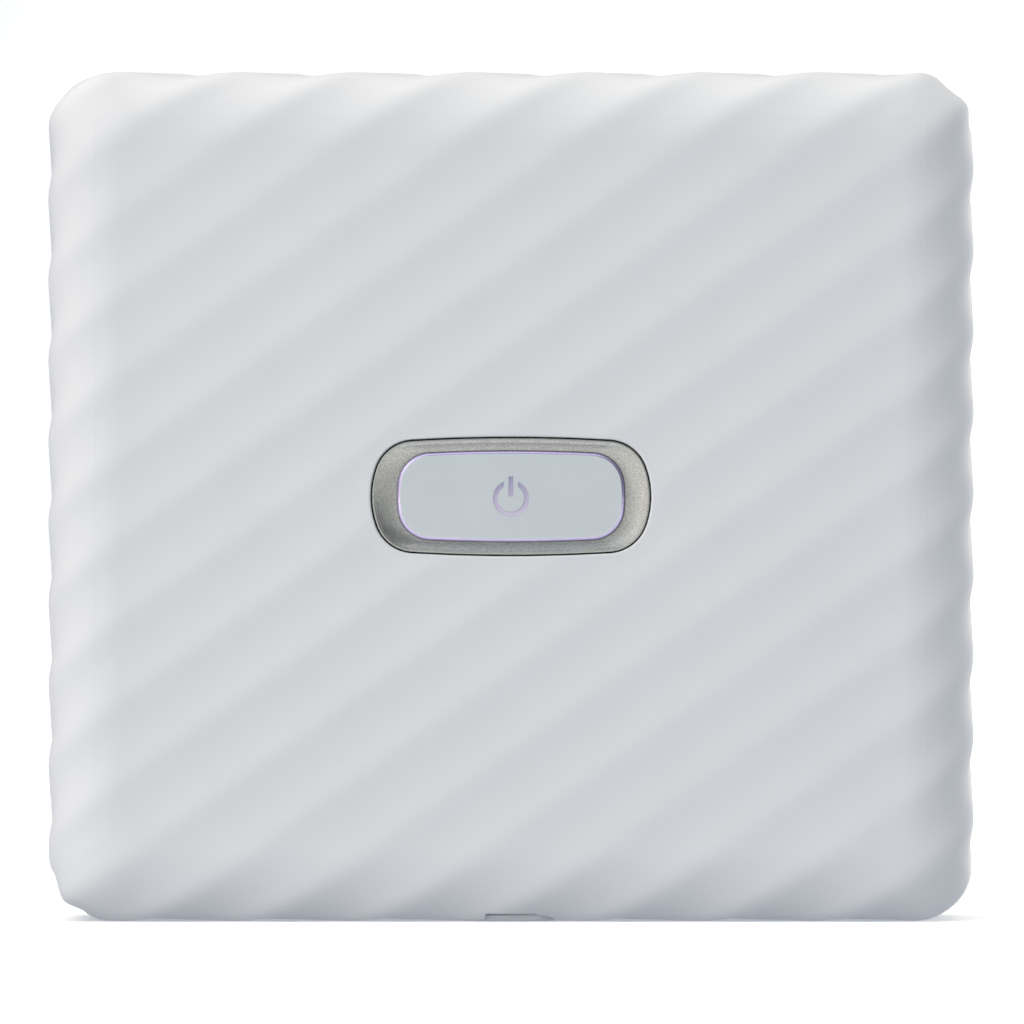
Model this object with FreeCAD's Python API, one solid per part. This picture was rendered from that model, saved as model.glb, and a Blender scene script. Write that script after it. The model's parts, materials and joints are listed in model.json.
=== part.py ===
"""Wide-format instant photo printer: a slab-shaped film printer with a film door on its back.

Frame: millimetres, +Z up, front face towards -Y, origin at the middle of the bottom.
Film leaves the pack upwards, passes the print head and the developing rollers, and comes out of the top.
"""
import FreeCAD, Part
import math
import os
from FreeCAD import Vector

# ---- driving dimensions of the case -------------------------------------------------------------
WIDTH = 139.0
DEPTH = 33.7
HEIGHT = 127.5
WALL = 2.0
CORNER_R = 9.06          # corners of the front outline
EDGE_R = 7.2             # edges round the front and back faces
Y_FRONT = -DEPTH / 2
Y_BACK = DEPTH / 2
Y_PARTING = 3.0          # plane where the front and rear housings meet

# ---- film, chamber and film path ----------------------------------------------------------------
FILM_W = 108.0
FILM_Y = -2.1            # plane that the film travels in
CHAMBER_X = 60.0         # inner half width of the film chamber
CHAMBER_Z = (9.0, 102.5)
CHAMBER_FRONT = -3.2     # inner face of its front wall
CHAMBER_BACK = 12.0      # rim that the door seals against
CHAMBER_T = 1.2
BRACKET_Z = (103.7, 123.4)
BRACKET_SCREW = (57.2, 5.4)      # x, y of the screw in each bracket's foot
SIDE_X = CHAMBER_X + CHAMBER_T
HEAD_Z = (104.3, 110.0)          # height range of the print head
HEAD_BOARD_Z = (104.2, 108.8)
PICK_X = (61.6, 62.4)            # sheet thickness of the pick arm, along X

# ---- power button -------------------------------------------------------------------------------
# An outline is half width, half height, corner radius, and the corner centre's x and z: eight tangent arcs.
BUTTON_Z = HEIGHT / 2
BUTTON_HOLE = (21.0, 8.95, 6.15, 14.44, 2.37)
BUTTON_PLATE = (17.0, 6.8, 4.9, 12.0, 1.6)
BUTTON_GAP = 0.15
BUTTON_TRAVEL = 0.6
RING_TOP = Y_FRONT + 0.45
RING_LOW = RING_TOP + 0.75       # inner edge of the ring's dished face
RING_BACK = RING_TOP + 2.2
PLATE_TOP = RING_TOP + 0.05

# ---- film door ----------------------------------------------------------------------------------
DOOR_X = 61.4
DOOR_TOP = 107.5
DOOR_GAP = 0.2
DOOR_T = 2.0
DOOR_CORNER_R = 4.0              # the door's upper corners
HINGE_Y, HINGE_Z = 14.55, 7.8
BEAD_R = Y_BACK - HINGE_Y        # round bead along the hinge edge, flush with the back face
PIN_R = 1.0
PLATE_Y = (12.9, 13.7)           # inner plate of the door
DOOR_PADS = [(-52.0, 18.0), (52.0, 18.0), (-52.0, 94.0), (52.0, 94.0)]
WINDOW = (9.0, 3.2, 84.0)        # half width, half height, centre height
THUMB = (8.8, 97.4, 104.4)       # half width and height range of the latch's opening
LATCH_TRAVEL = 2.2
SPRING_Z = (30.0, 62.0)          # middles of the two pressure springs

# ---- developing rollers and gear train ----------------------------------------------------------
ROLLER_Z = 115.2
ROLLER_PITCH = 8.4               # distance between the two roller axes
ROLLER_R = 4.05
SHAFT_R = 1.7
FLANGE_R = 3.6                   # flange of the roller bearings
GEAR_T = 1.5
PLANE_A, PLANE_B, PLANE_C = 61.6, 63.35, 65.1    # inner faces of the three gear planes
ROLLER_TEETH = 16
ROLLER_MODULE = ROLLER_PITCH / ROLLER_TEETH
SECOND_SMALL, SECOND_LARGE = 14, 36
FIRST_SMALL, FIRST_LARGE = 12, 38
PINION_TEETH = 10
CAM_TEETH = 36
MID_MODULE = 0.45
FINE_MODULE = 0.4
POST_R = 1.0

# ---- bottom port --------------------------------------------------------------------------------
PORT_Y = -8.15
PORT_RECESS = (6.4, 2.95)        # half sizes along X and Y of the recess that the cover lies in

# ---- side button --------------------------------------------------------------------------------
SIDE_BUTTON = (-4.5, 52.8)       # y, z of its centre on the right flank
SIDE_BUTTON_R = 3.0
TRAY_X = 61.9                    # outer face of the battery tray

# ---- board and screws ---------------------------------------------------------------------------
BOARD_Y = (-10.5, -9.5)
SWITCH_TOP = BOARD_Y[0] - 1.4
EAR_Y = (-4.4, -3.2)             # ears of the chamber
LEDGE_Y = (10.5, 12.0)           # ledge of the rear housing above the door
BOARD_SCREWS = [(-21.0, 7.5), (21.0, 7.5), (-21.0, 82.5), (21.0, 82.5)]
CHASSIS_SCREWS = [(-64.3, 26.0), (64.3, 26.0), (-64.3, 92.0), (64.3, 70.5)]
CASE_SCREWS = [(-50.0, 105.6), (50.0, 105.6)]

parts = {}


# ---- shape helpers ------------------------------------------------------------------------------
def box(x, y, z):
    """Block between the low and high value of each axis."""
    return Part.makeBox(x[1] - x[0], y[1] - y[0], z[1] - z[0], Vector(x[0], y[0], z[0]))


def rod_x(x, y, z, radius):
    return Part.makeCylinder(radius, x[1] - x[0], Vector(x[0], y, z), Vector(1, 0, 0))


def rod_y(x, y, z, radius):
    return Part.makeCylinder(radius, y[1] - y[0], Vector(x, y[0], z), Vector(0, 1, 0))


def rod_z(x, y, z, radius):
    return Part.makeCylinder(radius, z[1] - z[0], Vector(x, y, z[0]), Vector(0, 0, 1))


def along(edge, axis):
    """True if a straight edge runs along the named axis."""
    if not isinstance(edge.Curve, Part.Line):
        return False
    return abs(getattr(edge.tangentAt(edge.FirstParameter), axis)) > 0.999


def rounded(shape, axis, radius):
    """The shape with its straight edges along one axis rounded."""
    return shape.makeFillet(radius, [e for e in shape.Edges if along(e, axis)])


def upper_corners(block):
    """Edges along Y in the upper half of a block."""
    middle = block.BoundBox.Center.z
    return [e for e in block.Edges if along(e, "y") and e.CenterOfMass.z > middle]


def plate(x, y, z, radius):
    """Flat plate facing Y with rounded corners."""
    return rounded(box(x, y, z), "y", radius)


def both_sides(make):
    """Joins make(-1) and make(+1) into one group of solids."""
    return Part.makeCompound([make(-1), make(1)])


def mirrored(shape):
    """Mirror image across the plane X = 0."""
    return shape.mirror(Vector(0, 0, 0), Vector(1, 0, 0))


def arc(start, middle, end):
    return Part.Arc(start, middle, end).toShape()


def bow_radius(reach, corner_r, across, beside):
    """Radius of the long arc that reaches out to reach and runs tangent into the corner arcs."""
    slack = across - reach
    return (corner_r ** 2 - beside ** 2 - slack ** 2) / (2 * (slack + corner_r))


def oval(outline, y, inset=0.0):
    """Closed outline of eight tangent arcs in the plane y, centred on the power button."""
    half_w, half_h, corner_r, cx, cz = outline
    end_r = bow_radius(half_w, corner_r, cx, cz) - inset
    top_r = bow_radius(half_h, corner_r, cz, cx) - inset
    half_w, half_h, corner_r = half_w - inset, half_h - inset, corner_r - inset
    low = math.atan2(cz, cx - half_w + end_r)
    high = math.atan2(cz - half_h + top_r, cx)

    def corner(angle, sx, sz):
        x = sx * (cx + corner_r * math.cos(angle))
        z = BUTTON_Z + sz * (cz + corner_r * math.sin(angle))
        return Vector(x, y, z)

    middle = (low + high) / 2
    edges = []
    for side in (1, -1):
        end = Vector(side * half_w, y, BUTTON_Z)
        crown = Vector(0, y, BUTTON_Z + side * half_h)
        edges.append(arc(corner(low, side, -1), end, corner(low, side, 1)))
        edges.append(arc(corner(high, 1, side), crown, corner(high, -1, side)))
        for sz in (1, -1):
            edges.append(arc(corner(low, side, sz), corner(middle, side, sz), corner(high, side, sz)))
    return Part.Wire(Part.__sortEdges__(edges))


def oval_prism(outline, y0, y1, inset=0.0):
    """Straight prism with the button's outline, drawn in from it by inset."""
    return Part.Face(oval(outline, y0, inset)).extrude(Vector(0, y1 - y0, 0))


def oval_loft(low, high):
    """Straight-sided loft between two outlines, each (outline, y, inset)."""
    return Part.makeLoft([oval(*low), oval(*high)], True, True)


def outline_plate(inset, y):
    """Flat plate with the case's outline, drawn in by inset."""
    half_w = WIDTH / 2 - inset
    return plate((-half_w, half_w), y, (inset, HEIGHT - inset), CORNER_R - inset)


def case_slab(inset, y_face, y_end):
    """Rounded slab from the face at y_face to a flat end at y_end, inset from the case's outline."""
    y0, y1 = sorted((y_face, y_end))
    slab = outline_plate(inset, (y0, y1))
    rim = [e for e in slab.Edges if all(abs(v.Point.y - y_face) < 1e-6 for v in e.Vertexes)]
    return slab.makeFillet(EDGE_R - inset, rim)


def screw(x, y_head, z, length, radius=0.85, head_r=1.6, head_t=0.7):
    """Pan-head screw with a cross recess: shank along -Y, head towards +Y."""
    head = rod_y(x, (y_head, y_head + head_t), z, head_r)
    head = head.cut(box((x - 0.9, x + 0.9), (y_head + 0.3, y_head + 1), (z - 0.2, z + 0.2)))
    head = head.cut(box((x - 0.2, x + 0.2), (y_head + 0.3, y_head + 1), (z - 0.9, z + 0.9)))
    return head.fuse(rod_y(x, (y_head - length, y_head), z, radius))


# ---- gears --------------------------------------------------------------------------------------
def involute(base_r, radius):
    """Polar angle of the involute from its base circle at a radius."""
    t = math.sqrt(max(0.0, (radius / base_r) ** 2 - 1))
    return t - math.atan(t)


def gear(x0, y, z, teeth, module, turn, thickness=GEAR_T, bore=POST_R + 0.04, play=0.05):
    """Spur gear on an axis along X, with one tooth's middle at the angle turn in the YZ plane."""
    pitch_r = teeth * module / 2
    base_r = pitch_r * math.cos(math.radians(20))
    tip_r = pitch_r + module
    root_r = pitch_r - 1.2 * module
    half = math.pi / (2 * teeth) - play / pitch_r
    start_r = max(base_r, root_r)

    def flank_angle(radius):
        return half + involute(base_r, pitch_r) - involute(base_r, radius)

    def point(radius, angle):
        return Vector(x0, y + radius * math.cos(angle), z + radius * math.sin(angle))

    edges = []
    radii = [start_r + (tip_r - start_r) * k / 3 for k in range(4)]
    for i in range(teeth):
        middle = turn + 2 * math.pi * i / teeth
        after = middle + 2 * math.pi / teeth
        rising = [point(r, middle - flank_angle(r)) for r in radii]
        falling = [point(r, middle + flank_angle(r)) for r in reversed(radii)]
        root_in = point(root_r, middle - flank_angle(start_r))
        root_out = point(root_r, middle + flank_angle(start_r))
        next_in = point(root_r, after - flank_angle(start_r))
        valley = point(root_r, middle + math.pi / teeth)
        if start_r > root_r + 1e-6:
            edges.append(Part.LineSegment(root_in, rising[0]).toShape())
        edges.append(flank_curve(rising))
        edges.append(arc(rising[-1], point(tip_r, middle), falling[0]))
        edges.append(flank_curve(falling))
        if start_r > root_r + 1e-6:
            edges.append(Part.LineSegment(falling[-1], root_out).toShape())
        edges.append(arc(root_out, valley, next_in))
    blank = Part.Face(Part.Wire(Part.__sortEdges__(edges))).extrude(Vector(thickness, 0, 0))
    return blank.cut(rod_x((x0 - 1, x0 + thickness + 1), y, z, bore))


def flank_curve(points):
    """Smooth curve through the points of one tooth flank."""
    curve = Part.BSplineCurve()
    curve.interpolate(points)
    return curve.toShape()


def mesh_turn(centre, teeth, turn, other, other_teeth):
    """Turn that puts the other gear's teeth in this gear's gaps."""
    toward = math.atan2(other[1] - centre[1], other[0] - centre[0])
    phase = (toward - turn) * teeth / (2 * math.pi)
    return toward + math.pi - (0.5 - phase) * 2 * math.pi / other_teeth


def placed(centre, distance, degrees):
    """Centre of a gear at a distance and direction from another, in the YZ plane."""
    a = math.radians(degrees)
    return centre[0] + distance * math.cos(a), centre[1] + distance * math.sin(a)


FRONT_ROLLER = (FILM_Y - ROLLER_PITCH / 2, ROLLER_Z)
REAR_ROLLER = (FILM_Y + ROLLER_PITCH / 2, ROLLER_Z)
SECOND = placed(FRONT_ROLLER, (ROLLER_TEETH + SECOND_SMALL) * ROLLER_MODULE / 2, -75)
FIRST = placed(SECOND, (SECOND_LARGE + FIRST_SMALL) * MID_MODULE / 2, -80)
CAM = placed(FIRST, (FIRST_SMALL + CAM_TEETH) * MID_MODULE / 2, -75)
MOTOR = placed(FIRST, (FIRST_LARGE + PINION_TEETH) * FINE_MODULE / 2, -137.9)


# ---- housings -----------------------------------------------------------------------------------
def port_block(half, z):
    """Block centred on the charging port."""
    return box((-half[0], half[0]), (PORT_Y - half[1], PORT_Y + half[1]), z)


def make_front_housing():
    """Front half of the case: slot, button, port and side-button openings, and screw posts."""
    body = case_slab(0, Y_FRONT, Y_PARTING).cut(case_slab(WALL, Y_FRONT + WALL, Y_PARTING + 1))
    body = body.cut(outline_plate(1.0, (Y_PARTING - 1.3, Y_PARTING + 1)))
    body = body.cut(oval_prism(BUTTON_HOLE, Y_FRONT - 1, Y_FRONT + 4))
    slot = rounded(box((-57.5, 57.5), (-5.1, 0.9), (120, 130)), "z", 2.9)
    body = body.cut(slot)
    body = body.cut(rod_x((60, 72), *SIDE_BUTTON, SIDE_BUTTON_R + 0.1))
    recess = rounded(port_block(PORT_RECESS, (-1, 0.95)), "z", 2.7)
    port = rounded(port_block((4.8, 2.2), (0, 4)), "z", 1.2)
    notch = rounded(box((-3.85, 3.85), (-13.3, PORT_Y - 2.5), (-1, 1.2)), "z", 0.7)
    body = body.cut(recess).cut(port).cut(notch)
    bosses = []
    for x, z, y_end in boss_places():
        post = rod_y(x, (Y_FRONT + WALL - 0.4, y_end), z, 2.3)
        bosses.append(post.cut(rod_y(x, (y_end - 6, y_end + 1), z, 0.9)))
    ring = oval_prism(BUTTON_HOLE, Y_FRONT + WALL - 0.4, Y_FRONT + WALL + 0.8, -2.6)
    ring = ring.cut(oval_prism(BUTTON_HOLE, Y_FRONT, Y_FRONT + 6, -1.6))
    return body.fuse(bosses + [ring])


def boss_places():
    """Screw posts of the front housing: x, z and the y of their ends."""
    board = [(x, z, BOARD_Y[0]) for x, z in BOARD_SCREWS]
    chassis = [(x, z, EAR_Y[0]) for x, z in CHASSIS_SCREWS]
    return board + chassis


def make_rear_housing():
    """Rear half of the case: lip, film door opening, hinge trough and ears, and the screw ledge."""
    outer = case_slab(0, Y_BACK, Y_PARTING)
    inner = case_slab(WALL, Y_BACK - WALL, Y_PARTING - 1)
    body = outer.cut(inner)
    lip_out = outline_plate(1.1, (Y_PARTING - 1.2, Y_PARTING))
    lip_in = outline_plate(WALL, (0, 5))
    trough_block = outer.common(box((-66, 66), (10.9, 18), (1, HINGE_Z - 0.2)))
    ears = [outer.common(rod_x((61.6, 66.0), HINGE_Y, HINGE_Z, BEAD_R)),
            outer.common(rod_x((-66.0, -61.6), HINGE_Y, HINGE_Z, BEAD_R))]
    ledge = box((-62, 62), LEDGE_Y, (104.0, 107.7))
    ledge = ledge.fuse(box((-62, 62), (LEDGE_Y[0], Y_BACK - WALL + 0.3), (107.7, 109.2)))
    body = body.fuse([lip_out.cut(lip_in), trough_block, ledge] + ears)
    opening = box((-DOOR_X - DOOR_GAP, DOOR_X + DOOR_GAP), (12.05, 18), (HINGE_Z, DOOR_TOP + DOOR_GAP))
    opening = opening.makeFillet(DOOR_CORNER_R + DOOR_GAP, upper_corners(opening))
    body = body.cut(opening)
    body = body.cut(rod_x((-DOOR_X - DOOR_GAP, DOOR_X + DOOR_GAP), HINGE_Y, HINGE_Z, BEAD_R + 0.15))
    swing = (HINGE_Z - BEAD_R - 0.2, HINGE_Z)
    body = body.cut(box((-DOOR_X - DOOR_GAP, DOOR_X + DOOR_GAP), (HINGE_Y, 18), swing))
    body = body.cut(rod_x((-65.6, 65.6), HINGE_Y, HINGE_Z, PIN_R + 0.02))
    for x, z in CASE_SCREWS:
        body = body.cut(rod_y(x, (5, 15), z, 1.0))
    return body


def make_button_well():
    """Black frame behind the button opening that guides the button and blocks light."""
    flange = oval_prism(BUTTON_HOLE, Y_FRONT + WALL, Y_FRONT + WALL + 0.8, -1.5)
    wall = oval_prism(BUTTON_HOLE, Y_FRONT + WALL + 0.8, -12.4, -1.0)
    hole = oval_prism(BUTTON_HOLE, Y_FRONT, -8)
    return flange.fuse(wall).cut(hole)


# ---- power button -------------------------------------------------------------------------------
def make_button_ring():
    """Dished metal-look ring: its face slopes down from the rim to the plate."""
    body = oval_prism(BUTTON_HOLE, RING_TOP, RING_BACK, BUTTON_GAP)
    dish = oval_loft((BUTTON_PLATE, RING_LOW, -0.1), (BUTTON_HOLE, RING_TOP - 0.001, BUTTON_GAP + 0.5))
    seat = oval_prism(BUTTON_PLATE, RING_TOP - 1, RING_LOW + 0.5, -0.05)
    return body.cut(dish).cut(seat)


def make_button_plate():
    """Gloss plate with a wide chamfer, seated in the ring, with a groove for the inlay."""
    low = oval_prism(BUTTON_PLATE, PLATE_TOP + 0.45, RING_LOW + 0.5)
    chamfer = oval_loft((BUTTON_PLATE, PLATE_TOP + 0.45, 0.0), (BUTTON_PLATE, PLATE_TOP, 0.4))
    return low.fuse(chamfer).cut(power_sign(PLATE_TOP - 0.1, PLATE_TOP + 0.25, 0.0))


def power_sign(y0, y1, shrink):
    """Plain power sign: an open ring with a short bar."""
    outer_r, inner_r, half_bar = 2.7 - shrink, 2.0 + shrink, 0.36 - shrink
    centre = BUTTON_Z - 0.3
    ring = rod_y(0, (y0, y1), centre, outer_r).cut(rod_y(0, (y0 - 1, y1 + 1), centre, inner_r))
    gap = box((-1.05 - shrink, 1.05 + shrink), (y0 - 1, y1 + 1), (BUTTON_Z, BUTTON_Z + 5))
    bar = box((-half_bar, half_bar), (y0, y1), (BUTTON_Z + shrink, BUTTON_Z + 3.0 - shrink))
    return Part.makeCompound([ring.cut(gap), bar])


def make_button_carrier():
    """Black moulding behind the ring with the stem that presses the switch."""
    body = oval_prism(BUTTON_HOLE, RING_BACK, RING_BACK + 0.9, BUTTON_GAP + 0.1)
    return body.fuse(rod_y(0, (RING_BACK + 0.9, SWITCH_TOP - BUTTON_TRAVEL - 0.02), BUTTON_Z, 1.6))


def make_power_switch():
    """Switch under the power button."""
    base = box((-3, 3), (BOARD_Y[0] - 1.2, BOARD_Y[0]), (BUTTON_Z - 3, BUTTON_Z + 3))
    return base.fuse(rod_y(0, (SWITCH_TOP, BOARD_Y[0] - 1.2), BUTTON_Z, 1.4))


# ---- side button --------------------------------------------------------------------------------
def make_side_button():
    """Round cap with a short stem towards its switch."""
    y, z = SIDE_BUTTON
    cap = rod_x((66.0, WIDTH / 2 - 0.4), y, z, SIDE_BUTTON_R)
    rim = [e for e in cap.Edges if e.CenterOfMass.x > 69 and isinstance(e.Curve, Part.Circle)]
    cap = cap.makeFillet(0.35, rim)
    return cap.fuse(rod_x((65.75, 66.0), y, z, 1.0))


def make_side_switch():
    """Switch on a small board against the battery tray."""
    y, z = SIDE_BUTTON
    board = box((TRAY_X, TRAY_X + 1.0), (y - 3.5, y + 3.5), (z - 5, z + 5))
    return board.fuse(box((TRAY_X + 1.0, 65.0), (y - 2.6, y + 2.6), (z - 2.6, z + 2.6)))


# ---- film chamber -------------------------------------------------------------------------------
def make_film_chamber():
    """Tray that holds the film pack, with the film exit, guide, ears and screw posts."""
    z0, z1 = CHAMBER_Z
    t = CHAMBER_T
    y0 = CHAMBER_FRONT - t
    body = box((-SIDE_X, SIDE_X), (y0, CHAMBER_BACK), (z0 - t, z1 + t))
    body = body.cut(box((-CHAMBER_X, CHAMBER_X), (CHAMBER_FRONT, 20), (z0, z1)))
    body = body.cut(box((-SIDE_X - 1, SIDE_X + 1), (11.9, 20), (z0 - t - 1, 10.2)))
    body = body.cut(box((-55, 55), (FILM_Y - 0.7, FILM_Y + 0.7), (z1 - 1, z1 + 4)))
    body = body.cut(box((CHAMBER_X - 1, SIDE_X + 1), (FILM_Y - 0.9, FILM_Y + 0.9), (z0 + 0.05, 20)))
    guide = box((-54.5, 54.5), (FILM_Y + 0.8, FILM_Y + 1.7), (z1 + t, 110.6))
    ribs = [box((x - 0.5, x + 0.5), (CHAMBER_FRONT - 0.1, CHAMBER_FRONT + 0.25), (z0 + 12, z1 - 12))
            for x in range(-45, 46, 15)]
    ears = []
    for x, z in CHASSIS_SCREWS:
        inner = math.copysign(SIDE_X - 0.3, x)
        span = sorted((inner, x))
        ear = box(span, EAR_Y, (z - 2.4, z + 2.4)).fuse(rod_y(x, EAR_Y, z, 2.4))
        ears.append(ear.cut(rod_y(x, (EAR_Y[0] - 1, EAR_Y[1] + 1), z, 1.0)))
    corner_pads = [box((x - 4, x + 4), (CHAMBER_FRONT - 0.1, CHAMBER_FRONT + 0.25), (z - 4, z + 4))
                   for x in (-52, 52) for z in (z0 + 5, z1 - 5)]
    posts = []
    for x, z in CASE_SCREWS:
        post = rod_y(x, (FILM_Y + 1.2, LEDGE_Y[0]), z, 1.75)
        posts.append(post.cut(rod_y(x, (5.0, 12), z, 0.9)))
    spring_hook = box((SIDE_X - 0.1, 62.4), (4.2, 5.2), (22.8, 24.0))
    body = body.fuse([guide, spring_hook] + ribs + ears + corner_pads + posts)
    for x, z in CHASSIS_SCREWS:
        body = body.cut(rod_y(x, (EAR_Y[0] - 1, EAR_Y[1] + 1), z, 1.0))
    for x in (-BRACKET_SCREW[0], BRACKET_SCREW[0]):
        body = body.cut(rod_z(x, BRACKET_SCREW[1], (z1 - 1, z1 + t + 1), 0.72))
    return body


def make_load_mark():
    """Coloured strip that shows which corner of the pack goes where."""
    return box((-59.9, -57.6), (CHAMBER_FRONT + 0.02, CHAMBER_FRONT + 0.2), (60, 84))


def make_exit_felts():
    """Light-seal felts on both sides of the film exit."""
    z = CHAMBER_Z[1] + CHAMBER_T
    front = box((-54, 54), (FILM_Y - 1.5, FILM_Y - 0.45), (z + 0.02, z + 0.4))
    rear = box((-54, 54), (FILM_Y + 0.4, FILM_Y + 0.78), (z + 0.02, z + 1.6))
    return Part.makeCompound([front, rear])


# ---- print head ---------------------------------------------------------------------------------
def make_head_housing():
    """Print head body, open below and at the back, with end lugs."""
    body = box((-54, 54), (-10.6, -3.2), HEAD_Z)
    body = body.cut(box((-52.5, 52.5), (-9.7, -5.6), (HEAD_Z[0] - 1, HEAD_Z[1] - 1)))
    body = body.cut(box((-51.5, 51.5), (-6, -2), (106.2, 108.2)))
    lugs = [box(x, (-10.6, -8.4), (105, 109.3)) for x in ((-CHAMBER_X, -53.9), (53.9, CHAMBER_X))]
    return body.fuse(lugs)


def make_lens_array():
    return box((-51.4, 51.4), (-5.5, -3.1), (106.3, 108.1))


def make_head_board():
    """Head circuit board with its line of emitters."""
    board = box((-52, 52), (-9.6, -8.8), HEAD_BOARD_Z)
    emitter = box((-50.5, 50.5), (-8.8, -8.0), (106.4, 108.0))
    return board.fuse(emitter)


def make_head_flex():
    """Flat cable from the head board down to the main board."""
    return box((-8, 8), (BOARD_Y[1] + 0.3, BOARD_Y[1] + 0.4), (84.2, HEAD_BOARD_Z[0]))


# ---- exit guide ---------------------------------------------------------------------------------
def make_exit_guide():
    """Black liner of the film slot in the top."""
    outer = rounded(box((-57.4, 57.4), (-5.0, 0.8), (120.2, 127.1)), "z", 2.8)
    flange = rounded(box((-58.8, 58.8), (-6.4, 2.2), (124.2, 125.4)), "z", 3.4)
    inner = rounded(box((-56.7, 56.7), (-4.3, 0.1), (119, 129)), "z", 2.1)
    return outer.fuse(flange).cut(inner)


# ---- roller frame -------------------------------------------------------------------------------
def make_bracket(side):
    """Steel side plate that carries the roller bearings, with a foot on the chamber's top."""
    x = (CHAMBER_X, SIDE_X)
    body = rounded(box(x, (-13.0, 9.0), BRACKET_Z), "x", 2.0)
    body = body.cut(rod_x((59, 62), *FRONT_ROLLER, 3.0))
    ends = (REAR_ROLLER[0], REAR_ROLLER[0] + 0.5)
    slot = box((59, 62), ends, (ROLLER_Z - 3.0, ROLLER_Z + 3.0))
    for y in ends:
        slot = slot.fuse(rod_x((59, 62), y, ROLLER_Z, 3.0))
    body = body.cut(slot)
    foot = box((54.8, CHAMBER_X + 0.1), (2.8, 9.0), (BRACKET_Z[0], BRACKET_Z[0] + 1.0))
    body = body.fuse(foot).cut(rod_z(*BRACKET_SCREW, (100, 106), 0.75))
    if side > 0:
        return body.cut(rod_x((59, 62), *SECOND, POST_R))
    return mirrored(body)


def make_bearings():
    """Flanged plain bearings of both rollers."""
    solids = []
    for centre in (FRONT_ROLLER, REAR_ROLLER):
        bush = rod_x((59.3, 61.3), *centre, 2.98).fuse(rod_x((59.3, 59.9), *centre, FLANGE_R))
        bush = bush.cut(rod_x((58, 63), *centre, SHAFT_R + 0.05))
        solids += [bush, mirrored(bush)]
    return Part.makeCompound(solids)


def make_roller(centre, gear_side_end):
    """Rubber-faced roller on its steel shaft, long at the gear side."""
    barrel = rod_x((-FILM_W / 2 - 0.8, FILM_W / 2 + 0.8), *centre, ROLLER_R)
    return barrel.fuse(rod_x((-61.9, gear_side_end), *centre, SHAFT_R))


def make_roller_springs():
    """Bent leaf springs that push the rear roller's bearings towards the film."""
    def leaf(side):
        x = (58.9, 59.9)
        nose_y = REAR_ROLLER[0] + FLANGE_R
        back = box(x, (6.6, 7.0), (106.0, 112.2))
        slope = box(x, (nose_y, 7.0), (112.2, 112.6))
        nose = box(x, (nose_y, nose_y + 0.4), (112.2, 118.2))
        tab = box((58.9, CHAMBER_X), (6.6, 7.0), (106.0, 108.5))
        shape = back.fuse([slope, nose, tab])
        return shape if side > 0 else mirrored(shape)
    return both_sides(leaf)


# ---- gear train ---------------------------------------------------------------------------------
TURN_FRONT = 0.0
TURN_REAR = mesh_turn(FRONT_ROLLER, ROLLER_TEETH, TURN_FRONT, REAR_ROLLER, ROLLER_TEETH)
TURN_SECOND = mesh_turn(FRONT_ROLLER, ROLLER_TEETH, TURN_FRONT, SECOND, SECOND_SMALL)
TURN_SECOND_LARGE = 0.0
TURN_FIRST = mesh_turn(SECOND, SECOND_LARGE, TURN_SECOND_LARGE, FIRST, FIRST_SMALL)
TURN_FIRST_LARGE = 0.0
TURN_CAM = mesh_turn(FIRST, FIRST_SMALL, TURN_FIRST, CAM, CAM_TEETH)
TURN_PINION = mesh_turn(FIRST, FIRST_LARGE, TURN_FIRST_LARGE, MOTOR, PINION_TEETH)


def make_roller_gear(centre, turn):
    """Gear on the end of a roller shaft."""
    return gear(PLANE_A, *centre, ROLLER_TEETH, ROLLER_MODULE, turn, bore=SHAFT_R)


def make_second_gear():
    """Double gear between the rollers and the first gear."""
    small = gear(PLANE_A, *SECOND, SECOND_SMALL, ROLLER_MODULE, TURN_SECOND, PLANE_B - PLANE_A)
    large = gear(PLANE_B, *SECOND, SECOND_LARGE, MID_MODULE, TURN_SECOND_LARGE)
    return small.fuse(large)


def make_first_gear():
    """Double gear that the motor pinion drives."""
    small = gear(PLANE_B, *FIRST, FIRST_SMALL, MID_MODULE, TURN_FIRST, PLANE_C - PLANE_B)
    large = gear(PLANE_C, *FIRST, FIRST_LARGE, FINE_MODULE, TURN_FIRST_LARGE)
    return small.fuse(large)


def make_cam_gear():
    """Gear with the crank pin that strokes the pick arm."""
    disc = gear(PLANE_B, *CAM, CAM_TEETH, MID_MODULE, TURN_CAM)
    return disc.fuse(rod_x((PLANE_B - 1.3, PLANE_B), CAM[0], CAM[1] - 5.4, 0.7))


def make_pinion():
    return gear(PLANE_C, *MOTOR, PINION_TEETH, FINE_MODULE, TURN_PINION, bore=0.5)


def make_motor_shaft():
    return rod_x((58.3, PLANE_C + GEAR_T), *MOTOR, 0.5)


def make_motor():
    """Flat-sided can motor with a front boss."""
    can = rod_x((36.0, 57.0), *MOTOR, 4.9)
    flats = box((30, 60), (MOTOR[0] - 6, MOTOR[0] + 6), (MOTOR[1] - 4.0, MOTOR[1] + 4.0))
    boss = rod_x((57.0, 58.2), *MOTOR, 1.8).cut(rod_x((56, 60), *MOTOR, 0.55))
    return can.common(flats).cut(rod_x((50, 60), *MOTOR, 0.55)).fuse(boss)


def make_motor_clamp():
    """Strap that holds the motor to the chamber's front wall."""
    y, z = MOTOR
    strap = box((44, 49), (y - 5.1, CHAMBER_FRONT - CHAMBER_T), (z - 4.7, z + 4.7))
    strap = strap.cut(box((43, 50), (y - 4.95, 0), (z - 4.1, z + 4.1)))
    feet = [box((44, 49), (-5.2, -4.4), (z + s - 2.2, z + s + 2.2)) for s in (-6.9, 6.9)]
    return strap.fuse(feet)


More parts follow.
